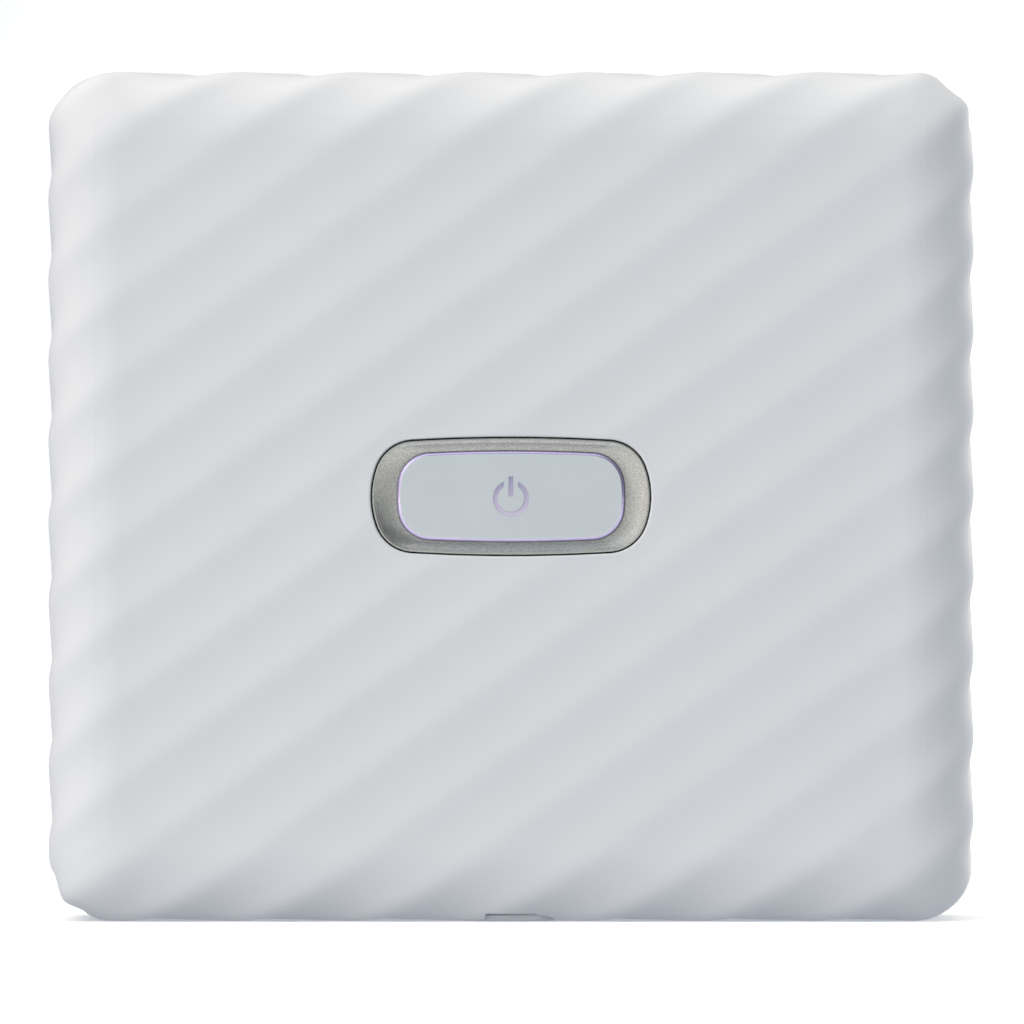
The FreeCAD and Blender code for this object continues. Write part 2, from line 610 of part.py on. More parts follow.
def make_gear_plate():
    """Thin steel plate outside the gears that carries the posts' outer ends."""
    body = box((66.75, 67.25), (-9.0, 6.5), (79.0, 115.0))
    for centre in (FIRST, SECOND, CAM):
        body = body.cut(rod_x((66, 68), *centre, POST_R * 0.7))
    return body


def make_gear_posts():
    """Fixed posts of the loose gears, with stepped outer ends."""
    solids = []
    for centre in (FIRST, SECOND, CAM):
        inner = CHAMBER_X if centre == SECOND else SIDE_X
        tip = rod_x((66.7, 67.25), *centre, POST_R * 0.7)
        solids.append(rod_x((inner, 66.75), *centre, POST_R).fuse(tip))
    return Part.makeCompound(solids)


# ---- film pick ----------------------------------------------------------------------------------
def make_pick_arm():
    """Flat steel slide with the claw that pushes one film out of the pack."""
    strip = box(PICK_X, (-0.5, 3.5), (12.0, 70.0))
    leg = box(PICK_X, (FILM_Y - 0.7, 3.5), (9.3, 16.0))
    claw = box((57.0, PICK_X[1]), (FILM_Y - 0.7, FILM_Y + 0.1), (9.1, 9.9))
    shape = strip.fuse([leg, claw])
    for z in (24.0, 58.0):
        shape = shape.cut(box((61, 63), (0.7, 2.3), (z - 5.5, z + 5.5)))
    return shape.fuse(box(PICK_X, (3.5, 5.5), (40.0, 41.2)))


def make_pick_guides():
    """Headed posts that the pick arm slides on."""
    solids = []
    for z in (28.2, 62.2):
        solids.append(rod_x((SIDE_X, 62.6), 1.5, z, 0.7).fuse(rod_x((62.6, 63.2), 1.5, z, 1.6)))
    return Part.makeCompound(solids)


def make_pick_spring():
    """Coil spring below the pick arm's tab, as a turned body with a groove between coils."""
    x, y, z0, z1 = 62.0, 4.7, 24.0, 39.9
    pitch, outer_r, groove_r = 1.0, 0.7, 0.5
    steps = int((z1 - z0) / pitch)
    outline = [Vector(x, y, z0), Vector(x + groove_r, y, z0)]
    for i in range(steps):
        z = z0 + i * pitch
        outline += [Vector(x + groove_r, y, z + 0.2), Vector(x + outer_r, y, z + 0.35),
                    Vector(x + outer_r, y, z + 0.65), Vector(x + groove_r, y, z + 0.8)]
    outline += [Vector(x + groove_r, y, z1), Vector(x, y, z1), outline[0]]
    face = Part.Face(Part.makePolygon(outline))
    return face.revolve(Vector(x, y, z0), Vector(0, 0, 1), 360)


# ---- electronics --------------------------------------------------------------------------------
def make_main_board():
    """Main circuit board with its screw holes."""
    body = plate((-24, 24), BOARD_Y, (3.6, 86.0), 1.5)
    for x, z in BOARD_SCREWS:
        body = body.cut(rod_y(x, (-12, -9), z, 1.0))
    return body


def make_board_parts():
    """Chips, shield can, coils and connectors on the main board."""
    y = BOARD_Y[1]
    blocks = [((-18, -2), (y, y + 1.6), (62, 78)), ((4, 12), (y, y + 1.0), (64, 72)),
              ((14, 20), (y, y + 1.8), (60, 66)), ((-19, -9), (y, y + 1.1), (40, 50)),
              ((-6, -2), (y, y + 2.0), (42, 46)), ((2, 6), (y, y + 2.0), (42, 46)),
              ((10, 20), (y, y + 2.4), (30, 35)), ((-20, -12), (y, y + 2.4), (20, 24)),
              ((-9, 9), (y, y + 0.3), (84.0, 85.5)), ((10, 14), (y, y + 1.0), (18, 24))]
    return Part.makeCompound([box(*b) for b in blocks])


def make_usb_receptacle():
    """Receptacle shell with its tongue."""
    body = rounded(box((-3.75, 3.75), (BOARD_Y[1], BOARD_Y[1] + 2.7), (2.3, 7.6)), "z", 0.5)
    body = body.cut(rounded(box((-3.4, 3.4), (PORT_Y - 0.95, PORT_Y + 0.95), (2.0, 7.0)), "z", 0.4))
    return body.fuse(box((-2.6, 2.6), (PORT_Y - 0.3, PORT_Y + 0.3), (3.2, 7.2)))


def make_battery():
    return rounded(box((26.5, 61.0), (-10.4, -5.6), (14.0, 62.0)), "z", 1.8)


def make_battery_tray():
    """Open tray in front of the cell, with a notch for the lead."""
    tray = box((25.4, TRAY_X), (-11.6, -7.2), (12.8, 63.2)).cut(box((26.4, 61.1), (-10.5, -4), (13.9, 62.1)))
    tray = tray.cut(box((25, 27), (-9.8, -7), (30.8, 34.2)))
    return tray.cut(box((36, 52), (-13, -9), (24, 52)))


def make_battery_lead():
    """Two-core lead from the battery to its connector on the board."""
    return Part.makeCompound([rod_x((20.0, 26.3), BOARD_Y[1] + 1.2, z, 0.5) for z in (31.8, 33.2)])


# ---- film door ----------------------------------------------------------------------------------
def make_door_panel():
    """Outer panel of the film door with its round hinge bead, pads, window and latch openings."""
    slab = box((-DOOR_X, DOOR_X), (Y_BACK - DOOR_T, Y_BACK), (HINGE_Z, DOOR_TOP))
    slab = slab.makeFillet(DOOR_CORNER_R, upper_corners(slab))
    bead = rod_x((-DOOR_X, DOOR_X), HINGE_Y, HINGE_Z, BEAD_R)
    pads = [rod_y(x, (PLATE_Y[1], Y_BACK - DOOR_T + 0.2), z, 2.4) for x, z in DOOR_PADS]
    body = slab.fuse([bead] + pads)
    for x, z in DOOR_PADS:
        body = body.cut(rod_y(x, (13, 15.9), z, 0.9))
    half_w, half_h, z = WINDOW
    body = body.cut(plate((-half_w, half_w), (13, 18), (z - half_h, z + half_h), 3.0))
    body = body.cut(plate((-THUMB[0], THUMB[0]), (13, 18), THUMB[1:], 2.0))
    for side in (-1, 1):
        ends = sorted((side * (DOOR_X - 4.2), side * (DOOR_X + 1)))
        body = body.cut(rod_x(ends, HINGE_Y, HINGE_Z, PIN_R + 0.06))
    return body


def make_hinge_pins():
    """Pins of the film door, one in each ear."""
    return both_sides(lambda s: rod_x(sorted((s * 57.5, s * 65.5)), HINGE_Y, HINGE_Z, PIN_R))


def make_door_plate():
    """Black inner plate of the door with openings for the window."""
    body = plate((-60.8, 60.8), PLATE_Y, (10.6, 106.4), 3.0)
    half_w, half_h, z = WINDOW
    body = body.cut(plate((-half_w, half_w), (12, 15), (z - half_h, z + half_h), 3.0))
    for x, z in DOOR_PADS:
        body = body.cut(rod_y(x, (12, 15), z, 1.0))
    for z in SPRING_Z:
        body = body.cut(box((-13, 13), (12, 13.1), (z - 6, z + 6)))
    return body


def make_pressure_springs():
    """Two bowed leaf springs that push the film stack forward."""
    half_w, ends, crown, leaf, height = 12, 12.75, 10.6, 0.3, 10

    def spring(z):
        bows = []
        for t in (0, leaf):
            left, right = Vector(-half_w, ends + t, z), Vector(half_w, ends + t, z)
            bows.append(arc(left, Vector(0, crown + t, z), right))
        tips = [Part.makeLine(Vector(x, ends, z), Vector(x, ends + leaf, z)) for x in (-half_w, half_w)]
        return Part.Face(Part.Wire(Part.__sortEdges__(bows + tips))).extrude(Vector(0, 0, height))

    return Part.makeCompound([spring(z - height / 2) for z in SPRING_Z])


def make_film_window():
    """Clear pane that shows the film pack."""
    half_w, half_h, z = WINDOW
    half_w, half_h = half_w - 0.1, half_h - 0.1
    return plate((-half_w, half_w), (13.8, Y_BACK - 0.35), (z - half_h, z + half_h), 2.9)


def make_door_foam():
    """Foam light seal between the door's inner plate and the chamber rim."""
    z0, z1 = 10.8, 103.6
    frame = box((-60.7, 60.7), (CHAMBER_BACK + 0.1, PLATE_Y[0]), (z0, z1))
    return frame.cut(box((-59.7, 59.7), (11, 14), (z0 + 1.0, z1 - 1.0)))


def make_latch_slider():
    """Thumb piece and hook bar of the door latch."""
    half_w, low, high = THUMB[0] - 0.2, THUMB[1] + LATCH_TRAVEL + 0.1, THUMB[2] - 0.2
    thumb = plate((-half_w, half_w), (14.5, Y_BACK - 0.5), (low, high), 1.6)
    grips = [box((-6, 6), (Y_BACK - 0.6, Y_BACK - 0.3), (z - 0.25, z + 0.25)) for z in (100.7, 101.9, 103.1)]
    bar = box((-42, 42), (13.85, 14.7), (99.6, 103.0))
    hooks = [box((x - 3, x + 3), (13.85, 14.7), (103.0, DOOR_TOP - 0.1)) for x in (-38, 38)]
    return thumb.fuse([bar] + hooks + grips)


def make_latch_spring():
    """Flat zigzag spring under the hook bar."""
    leaf, half_w, pitch, turns = 0.35, 9.0, 1.2, 4
    y = (14.0, 14.5)
    z = 97.3 - leaf - turns * pitch
    bits = [box((-half_w, half_w), y, (z, z + leaf))]
    for i in range(turns):
        side = 1 if i % 2 else -1
        x = sorted((side * half_w, side * (half_w - 0.6)))
        bits.append(box(x, y, (z, z + pitch)))
        z += pitch
        bits.append(box((-half_w, half_w), y, (z, z + leaf)))
    return bits[0].fuse(bits[1:])


# ---- port cover ---------------------------------------------------------------------------------
def make_port_cover():
    """Soft plug over the charging port, hinged at its rear edge."""
    lid = rounded(port_block((PORT_RECESS[0] - 0.15, PORT_RECESS[1] - 0.15), (-1, 0.9)), "z", 2.6)
    lid = lid.common(case_slab(0.12, Y_FRONT + 0.12, Y_PARTING))
    stem = rounded(port_block((4.3, 1.8), (0.8, 1.7)), "z", 1.0)
    return lid.fuse(stem)


# ---- fasteners ----------------------------------------------------------------------------------
def make_board_screws():
    return Part.makeCompound([screw(x, BOARD_Y[1], z, 4.5) for x, z in BOARD_SCREWS])


def make_chassis_screws():
    return Part.makeCompound([screw(x, EAR_Y[1], z, 6.0) for x, z in CHASSIS_SCREWS])


def make_case_screws():
    return Part.makeCompound([screw(x, LEDGE_Y[1], z, 4.5) for x, z in CASE_SCREWS])


def make_bracket_screws():
    """Low screws through the brackets' feet into the chamber's top wall."""
    x, y = BRACKET_SCREW
    z = BRACKET_Z[0] + 1.0
    solid = rod_z(x, y, (z, z + 0.6), 1.3).fuse(rod_z(x, y, (z - 2.2, z), 0.7))
    solid = solid.cut(box((x - 0.8, x + 0.8), (y - 0.15, y + 0.15), (z + 0.25, z + 1)))
    return Part.makeCompound([mirrored(solid), solid])


def make_door_screws():
    return Part.makeCompound([door_screw(x, z) for x, z in DOOR_PADS])


def door_screw(x, z):
    """Screw driven from inside the door: head towards -Y."""
    head = rod_y(x, (PLATE_Y[0] - 0.6, PLATE_Y[0]), z, 1.6)
    head = head.cut(box((x - 0.9, x + 0.9), (PLATE_Y[0] - 1, PLATE_Y[0] - 0.35), (z - 0.2, z + 0.2)))
    head = head.cut(box((x - 0.2, x + 0.2), (PLATE_Y[0] - 1, PLATE_Y[0] - 0.35), (z - 0.9, z + 0.9)))
    return head.fuse(rod_y(x, (PLATE_Y[0], PLATE_Y[0] + 2.6), z, 0.85))


def build():
    """Makes every sub-part under its own name."""
    parts["front_housing"] = make_front_housing()
    parts["rear_housing"] = make_rear_housing()
    parts["button_well"] = make_button_well()
    parts["button_ring"] = make_button_ring()
    parts["button_plate"] = make_button_plate()
    parts["button_sign"] = power_sign(PLATE_TOP + 0.02, PLATE_TOP + 0.22, 0.03)
    parts["button_carrier"] = make_button_carrier()
    parts["power_switch"] = make_power_switch()
    parts["side_button"] = make_side_button()
    parts["side_switch"] = make_side_switch()
    parts["film_chamber"] = make_film_chamber()
    parts["load_mark"] = make_load_mark()
    parts["exit_felts"] = make_exit_felts()
    parts["head_housing"] = make_head_housing()
    parts["lens_array"] = make_lens_array()
    parts["head_board"] = make_head_board()
    parts["head_flex"] = make_head_flex()
    parts["exit_guide"] = make_exit_guide()
    parts["left_bracket"] = make_bracket(-1)
    parts["right_bracket"] = make_bracket(1)
    parts["roller_bearings"] = make_bearings()
    parts["front_roller"] = make_roller(FRONT_ROLLER, PLANE_A + GEAR_T)
    parts["rear_roller"] = make_roller(REAR_ROLLER, PLANE_A + GEAR_T)
    parts["roller_springs"] = make_roller_springs()
    parts["front_roller_gear"] = make_roller_gear(FRONT_ROLLER, TURN_FRONT)
    parts["rear_roller_gear"] = make_roller_gear(REAR_ROLLER, TURN_REAR)
    parts["second_gear"] = make_second_gear()
    parts["first_gear"] = make_first_gear()
    parts["cam_gear"] = make_cam_gear()
    parts["motor_pinion"] = make_pinion()
    parts["motor_shaft"] = make_motor_shaft()
    parts["drive_motor"] = make_motor()
    parts["motor_clamp"] = make_motor_clamp()
    parts["gear_plate"] = make_gear_plate()
    parts["gear_posts"] = make_gear_posts()
    parts["pick_arm"] = make_pick_arm()
    parts["pick_guides"] = make_pick_guides()
    parts["pick_spring"] = make_pick_spring()
    parts["main_board"] = make_main_board()
    parts["board_parts"] = make_board_parts()
    parts["usb_receptacle"] = make_usb_receptacle()
    parts["battery"] = make_battery()
    parts["battery_tray"] = make_battery_tray()
    parts["battery_lead"] = make_battery_lead()
    parts["door_panel"] = make_door_panel()
    parts["hinge_pins"] = make_hinge_pins()
    parts["door_plate"] = make_door_plate()
    parts["pressure_springs"] = make_pressure_springs()
    parts["film_window"] = make_film_window()
    parts["door_foam"] = make_door_foam()
    parts["latch_slider"] = make_latch_slider()
    parts["latch_spring"] = make_latch_spring()
    parts["port_cover"] = make_port_cover()
    parts["board_screws"] = make_board_screws()
    parts["chassis_screws"] = make_chassis_screws()
    parts["case_screws"] = make_case_screws()
    parts["door_screws"] = make_door_screws()
    parts["bracket_screws"] = make_bracket_screws()


def export():
    os.makedirs("parts", exist_ok=True)
    for name, shape in parts.items():
        if len(shape.Solids) == 1:
            shape = shape.removeSplitter()
        shape.exportStep(f"parts/{name}.step")


build()
export()
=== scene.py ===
"""Looks of the instant photo printer: waved case shells, power button, finishes, light and camera.

Lengths are millimetres until a mesh, a material or a stage object is made, where they become metres.
"""

import json
import math

import bmesh
import bpy
import numpy as np
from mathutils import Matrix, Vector


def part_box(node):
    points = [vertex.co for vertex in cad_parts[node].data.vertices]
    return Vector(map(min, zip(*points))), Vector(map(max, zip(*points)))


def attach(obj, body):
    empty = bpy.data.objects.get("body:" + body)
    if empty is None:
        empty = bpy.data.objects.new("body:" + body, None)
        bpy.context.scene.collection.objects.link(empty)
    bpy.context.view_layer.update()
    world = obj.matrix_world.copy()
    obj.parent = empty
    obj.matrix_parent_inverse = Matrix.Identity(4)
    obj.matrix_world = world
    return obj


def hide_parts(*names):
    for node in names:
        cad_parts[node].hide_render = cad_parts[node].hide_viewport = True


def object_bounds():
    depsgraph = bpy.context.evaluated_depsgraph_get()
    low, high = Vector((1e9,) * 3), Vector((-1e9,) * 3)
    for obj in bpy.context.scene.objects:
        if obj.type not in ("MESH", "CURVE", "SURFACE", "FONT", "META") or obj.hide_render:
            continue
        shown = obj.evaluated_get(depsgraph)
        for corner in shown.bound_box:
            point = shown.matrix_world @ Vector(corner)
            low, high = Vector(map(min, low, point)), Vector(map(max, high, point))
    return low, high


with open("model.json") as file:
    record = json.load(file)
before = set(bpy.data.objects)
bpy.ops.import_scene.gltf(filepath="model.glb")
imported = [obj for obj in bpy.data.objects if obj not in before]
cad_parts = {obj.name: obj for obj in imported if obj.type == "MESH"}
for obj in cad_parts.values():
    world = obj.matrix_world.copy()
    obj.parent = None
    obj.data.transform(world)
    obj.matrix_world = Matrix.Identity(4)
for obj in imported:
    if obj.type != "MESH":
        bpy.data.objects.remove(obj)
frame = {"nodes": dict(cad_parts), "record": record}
cad_box = [[float(v) for v in corner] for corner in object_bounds()]

MM = 0.001
LOW, HIGH = [np.array(corner) / MM for corner in cad_box]
WIDTH, HEIGHT = HIGH[0] - LOW[0], HIGH[2] - LOW[2]
Y_FRONT, Y_BACK = LOW[1], HIGH[1]


def node_box(node):
    """Lowest and highest corner of a CAD node, in millimetres."""
    return [np.array(corner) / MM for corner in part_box(node)]


# ---- case outline and waves ---------------------------------------------------------------------
CORNER_R = 9.06
EDGE_R = 7.2
ROLL_X = 11.0                    # how far in from the outline the front face starts to roll over
ROLL_CORNER_R = 3.0              # corner radius of the line where it starts
SEAM_Y = node_box("front_housing")[1][1]
COLUMN_STEP = 0.62               # spacing of the mesh round the outline
WAVE_X, WAVE_Z = 17.35, 12.15    # pitch of the ridges across and up
WAVE_PHASE = 0.644
WAVE_DEPTH = 0.66                # crest to valley on the side walls
FACE_STRENGTH = 0.28             # share of that depth on the front face
SEAM_STRENGTH = 0.25             # share of it right at the seam
BUTTON_STRENGTH = 0.35           # share of the face's ridges right at the button
CREST_SHARPNESS = 0.12           # second harmonic that narrows the crests
CREST_GAP = 0.02                 # crests stay this far inside the case's envelope
BACK_SHIFT = 0.295               # lines the back's ridges up with the front's along the sides
SOFT_EDGE = 0.3                  # rounding where the skin meets an opening
SEAM_EDGE = 0.22                 # rounding where the two shells meet
SEAM_FADE = 1.2                  # height over which the ridges grow from the seam
TUCK = 0.08                      # how far the skin turns in behind an opening's edge


def smooth_step(value, low, high):
    """Eased step from 0 to 1 between low and high."""
    t = np.clip((value - low) / (high - low), 0.0, 1.0)
    return t * t * (3 - 2 * t)


def wave_drop(cycles, strength):
    """Depth of the skin under the envelope: the crests are a little narrower than the valleys."""
    turn = 2 * math.pi * cycles + WAVE_PHASE
    height = np.cos(turn) + CREST_SHARPNESS * np.cos(2 * turn)
    mean = 0.5 * WAVE_DEPTH
    return CREST_GAP + mean + strength * (mean * (1 + CREST_SHARPNESS - height) - mean)


def edge_drop(distance, radius=SOFT_EDGE):
    """Extra depth of a rounded edge at a distance from it."""
    d = np.clip(distance, 0.0, radius)
    return radius - np.sqrt(np.maximum(radius ** 2 - (radius - d) ** 2, 0.0))


class Outline:
    """Columns of points round the rounded rectangle that the case shows from the front."""

    def __init__(self):
        half_w, half_h = WIDTH / 2 - CORNER_R, HEIGHT / 2 - CORNER_R
        centres, angles = [], []
        arc_steps = round(CORNER_R * math.pi / 2 / COLUMN_STEP)
        corners = [(half_w, half_h), (-half_w, half_h), (-half_w, -half_h), (half_w, -half_h)]
        for i, corner in enumerate(corners):
            following = corners[(i + 1) % 4]
            for k in range(arc_steps + 1):
                centres.append(corner)
                angles.append((i + k / arc_steps) * math.pi / 2)
            length = math.dist(corner, following)
            steps = round(length / COLUMN_STEP)
            for k in range(1, steps):
                centres.append(tuple(a + (b - a) * k / steps for a, b in zip(corner, following)))
                angles.append((i + 1) * math.pi / 2)
        self.centre = np.array(centres)
        self.normal = np.stack([np.cos(angles), np.sin(angles)], 1)
        self.corner = np.array([half_w, half_h])

    def points(self, inset, reach=EDGE_R, inner_r=CORNER_R - EDGE_R):
        """x and z of every column, drawn in towards the rounded line at reach with corners of inner_r."""
        shift = reach + inner_r - CORNER_R
        inner = self.centre * (1 - shift / self.corner) + self.normal * inner_r
        flat = self.centre + self.normal * CORNER_R
        flat = flat + (inner - flat) * (inset / reach)
        return flat + np.array([0.0, HEIGHT / 2])


def polar_radius(points, centre, angles):
    """Distance from the centre to a closed outline at each angle."""
    d = points - centre
    a = np.arctan2(d[:, 1], d[:, 0])
    order = np.argsort(a)
    return np.interp(angles, a[order], np.hypot(d[:, 0], d[:, 1])[order], period=2 * math.pi)


def bow_radius(reach, corner_r, across, beside):
    """Radius of the long arc that reaches out to reach and runs tangent into the corner arcs."""
    slack = across - reach
    return (corner_r ** 2 - beside ** 2 - slack ** 2) / (2 * (slack + corner_r))


# An outline of the button: half width, half height, corner radius, and the corner centre's x and z.
BUTTON_HOLE = (21.0, 8.95, 6.15, 14.44, 2.37)
BUTTON_PLATE = (17.0, 6.8, 4.9, 12.0, 1.6)
BUTTON_Z = HEIGHT / 2


def oval_points(outline, inset=0.0, steps=60):
    """Dense closed outline of eight tangent arcs, as x and z."""
    half_w, half_h, corner_r, cx, cz = outline
    end_r = bow_radius(half_w, corner_r, cx, cz) - inset
    top_r = bow_radius(half_h, corner_r, cz, cx) - inset
    half_w, half_h, corner_r = half_w - inset, half_h - inset, corner_r - inset
    low = math.atan2(cz, cx - half_w + end_r)
    high = math.atan2(cz - half_h + top_r, cx)
    a = np.linspace(0, low, steps)
    b = np.linspace(low, high, steps)
    c = np.linspace(high, math.pi / 2, steps)
    x = np.concatenate([half_w - end_r + end_r * np.cos(a), cx + corner_r * np.cos(b), top_r * np.cos(c)])
    z = np.concatenate([end_r * np.sin(a), cz + corner_r * np.sin(b), half_h - top_r + top_r * np.sin(c)])
    x = np.concatenate([x, -x[::-1], -x, x[::-1]])
    z = np.concatenate([z, z[::-1], -z, -z[::-1]])
    return np.stack([x, z + BUTTON_Z], 1)


# ---- mesh helpers -------------------------------------------------------------------------------
def new_mesh(name, vertices, faces):
    """Mesh object from points in millimetres."""
    mesh = bpy.data.meshes.new(name)
    mesh.from_pydata((np.asarray(vertices) * MM).tolist(), [], faces)
    mesh.validate()
    obj = bpy.data.objects.new(name, mesh)
    bpy.context.scene.collection.objects.link(obj)
    return obj


def closed_rows(rows):
    """Vertices and faces of a closed skin from rings of points, capped at both ends."""
    count = len(rows[0])
    vertices = np.concatenate(rows)
    faces = []
    for r in range(len(rows) - 1):
        base = r * count
        for i in range(count):
            j = (i + 1) % count
            faces.append((base + i, base + j, base + count + j, base + count + i))
    faces.append(tuple(range(count))[::-1])
    last = (len(rows) - 1) * count
    faces.append(tuple(last + i for i in range(count)))
    return vertices, faces


def outward(obj):
    """Turns every face to look outwards."""
    bm = bmesh.new()
    bm.from_mesh(obj.data)
    bmesh.ops.recalc_face_normals(bm, faces=bm.faces)
    bm.to_mesh(obj.data)
    bm.free()


def shade(obj, degrees=32):
    """Smooth shading with edges kept sharp past an angle."""
    obj.data.shade_smooth()
    obj.data.set_sharp_from_angle(angle=math.radians(degrees))


def solid_copy(node, name):
    """Welded copy of a CAD node's mesh as a new piece."""
    mesh = frame["nodes"][node].data.copy()
    mesh.name = name
    obj = bpy.data.objects.new(name, mesh)
    bpy.context.scene.collection.objects.link(obj)
    bm = bmesh.new()
    bm.from_mesh(mesh)
    bmesh.ops.remove_doubles(bm, verts=bm.verts, dist=2e-6)
    bmesh.ops.recalc_face_normals(bm, faces=bm.faces)
    bm.to_mesh(mesh)
    bm.free()
    mesh.materials.clear()
    return obj


def combine(obj, other, operation, solver="EXACT"):
    """Applies a boolean with another solid, which is then removed."""
    modifier = obj.modifiers.new("cut", "BOOLEAN")
    modifier.operation = operation
    modifier.solver = solver
    modifier.object = other
    evaluated = obj.evaluated_get(bpy.context.evaluated_depsgraph_get())
    result = bpy.data.meshes.new_from_object(evaluated)
    obj.modifiers.clear()
    old = obj.data
    obj.data = result
    bpy.data.meshes.remove(old)
    used = other.data
    bpy.data.objects.remove(other)
    bpy.data.meshes.remove(used)
    return obj


# ---- waved blanks -------------------------------------------------------------------------------
def edge_section(reach, steps=30):
    """Quarter ellipse from the side wall to the face: inset, depth, normal's angle and unrolled excess."""
    turns = [math.pi / 2 * (1 - k / steps) for k in range(steps + 1)]
    places = [(reach * (1 - math.sin(t)), EDGE_R * (1 - math.cos(t))) for t in turns]
    lengths = [0.0]
    for (x0, y0), (x1, y1) in zip(places, places[1:]):
        lengths.append(lengths[-1] + math.hypot(x1 - x0, y1 - y0))
    section = []
    for t, (inset, depth), length in zip(turns, places, lengths):
        tilt = math.atan2(EDGE_R * math.sin(t), reach * math.cos(t))
        section.append((inset, depth, tilt, (lengths[-1] - length) - (reach - inset)))
    return section


def skin_rows(outline, side, inner_points, inner_centre, strength_at, cap_y, flip):
    """Rings of a waved slab from behind the seam, over the edge, and in to an opening.

    side is -1 for the front and 1 for the back; flip is -1 where the ridges lean the other way.
    """
    y_face = Y_FRONT if side < 0 else Y_BACK
    reach, inner_r = (ROLL_X, ROLL_CORNER_R) if side < 0 else (EDGE_R, CORNER_R - EDGE_R)
    wall_end = y_face - side * EDGE_R
    normal = outline.normal
    rows = []

    def row(flat, y, tilt, extra, drop_more, strength):
        """One ring: tilt is the normal's angle from the face, extra the unrolled length past the face."""
        x, z = flat[:, 0], flat[:, 1]
        cycles = (x + extra * normal[:, 0]) / WAVE_X - flip * (z + extra * normal[:, 1]) / WAVE_Z
        if flip < 0:
            cycles = cycles + BACK_SHIFT
        drop = wave_drop(cycles, strength) + drop_more
        sin_t, cos_t = math.sin(tilt), math.cos(tilt)
        rows.append(np.stack([x - normal[:, 0] * sin_t * drop,
                              np.full(len(x), y) - side * cos_t * drop,
                              z - normal[:, 1] * sin_t * drop], 1))

    def spoke(distance):
        """Points on the rays from the opening's centre, at a distance outside the opening."""
        return inner_centre + ray / far[:, None] * (inner + distance)[:, None]

    wall = abs(SEAM_Y - wall_end)
    edge = edge_section(reach)
    edge_length = edge[0][3]
    rounding = [-0.5, 0.0, 0.05, 0.1, 0.16, 0.25, 0.45]
    for d in np.concatenate([rounding, np.arange(0.9, wall - 0.2, 0.6), [wall]]):
        y = SEAM_Y + side * d
        strength = SEAM_STRENGTH + (1 - SEAM_STRENGTH) * smooth_step(d, 0.0, SEAM_FADE)
        row(outline.points(0.0), y, math.pi / 2, edge_length + wall - d, edge_drop(d, SEAM_EDGE), strength)
    for inset, depth, tilt, extra in edge[1:]:
        strength = 1.0 if side > 0 else FACE_STRENGTH + (1 - FACE_STRENGTH) * math.sin(tilt)
        row(outline.points(inset, reach, inner_r), y_face - side * depth, tilt, extra, 0.0, strength)
    start = outline.points(reach, reach, inner_r)
    ray = start - inner_centre
    angles = np.arctan2(ray[:, 1], ray[:, 0])
    far = np.hypot(ray[:, 0], ray[:, 1])
    inner = polar_radius(inner_points, inner_centre, angles)
    span = far - inner
    near = [0.5, 0.35, 0.24, 0.16, 0.1, 0.05, 0.02, 0.0]
    face_steps = 66
    for k in range(1, face_steps):
        distance = near[0] + (span - near[0]) * (1 - k / face_steps)
        row(spoke(distance), y_face, 0.0, 0.0, 0.0, strength_at(spoke(distance), distance))
    for d in near:
        distance = np.minimum(d, span * 0.6)
        row(spoke(distance), y_face, 0.0, 0.0, edge_drop(distance), strength_at(spoke(distance), distance))
    tucked = spoke(-TUCK)
    row(tucked, y_face, 0.0, 0.0, SOFT_EDGE, strength_at(tucked, 0.0))
    rows.append(np.stack([tucked[:, 0], np.full(len(tucked), cap_y), tucked[:, 1]], 1))
    return rows


# ---- film door and its opening ------------------------------------------------------------------
DOOR_LOW, DOOR_HIGH = node_box("door_panel")
DOOR_GAP = 0.2
DOOR_R = 4.0                     # upper corners of the door
OPEN_HALF = DOOR_HIGH[0] + DOOR_GAP
OPEN_TOP = DOOR_HIGH[2] + DOOR_GAP
OPEN_BOTTOM = DOOR_LOW[2] + 2.3  # height of the hinge axis
OPEN_R = DOOR_R + DOOR_GAP
RIDGE_FADE = (9.0, 14.0)         # heights between which the ridges fade out above the hinge bead
BEAD_FADE = (7.0, 12.0)          # heights between which the door's skin rises to the bead


def opening_points():
    """Outline of the door opening: round top corners, square bottom corners."""
    a = np.linspace(0, math.pi / 2, 24)
    right = np.stack([OPEN_HALF - OPEN_R + OPEN_R * np.cos(a), OPEN_TOP - OPEN_R + OPEN_R * np.sin(a)], 1)
    left = right[::-1] * np.array([-1, 1])
    side = np.linspace(OPEN_TOP - OPEN_R, OPEN_BOTTOM, 80)
    down = np.stack([np.full(80, -OPEN_HALF), side], 1)
    across = np.stack([np.linspace(-OPEN_HALF, OPEN_HALF, 120), np.full(120, OPEN_BOTTOM)], 1)
    up = np.stack([np.full(80, OPEN_HALF), side[::-1]], 1)
    top = np.stack([np.linspace(OPEN_HALF - OPEN_R, OPEN_R - OPEN_HALF, 90), np.full(90, OPEN_TOP)], 1)
    return np.concatenate([right, top, left, down, across, up])


def front_strength(flat, distance):
    """Ridges grow shallower close to the power button."""
    fade = smooth_step(distance, 0.0, 3.0)
    return FACE_STRENGTH * (BUTTON_STRENGTH + (1 - BUTTON_STRENGTH) * fade) * np.ones(len(flat))


def make_front_shell(outline):
    """Front housing cut down to the waved skin round the power button's opening."""
    centre = np.array([0.0, BUTTON_Z])
    rows = skin_rows(outline, -1, oval_points(BUTTON_HOLE), centre, front_strength, Y_FRONT + 1.7, 1)
    blank = new_mesh("front_blank", *closed_rows(rows))
    outward(blank)
    return combine(solid_copy("front_housing", "front_shell"), blank, "INTERSECT")


def back_strength(flat, distance):
    """Ridges fade out towards the hinge bead."""
    return smooth_step(flat[:, 1], *RIDGE_FADE)


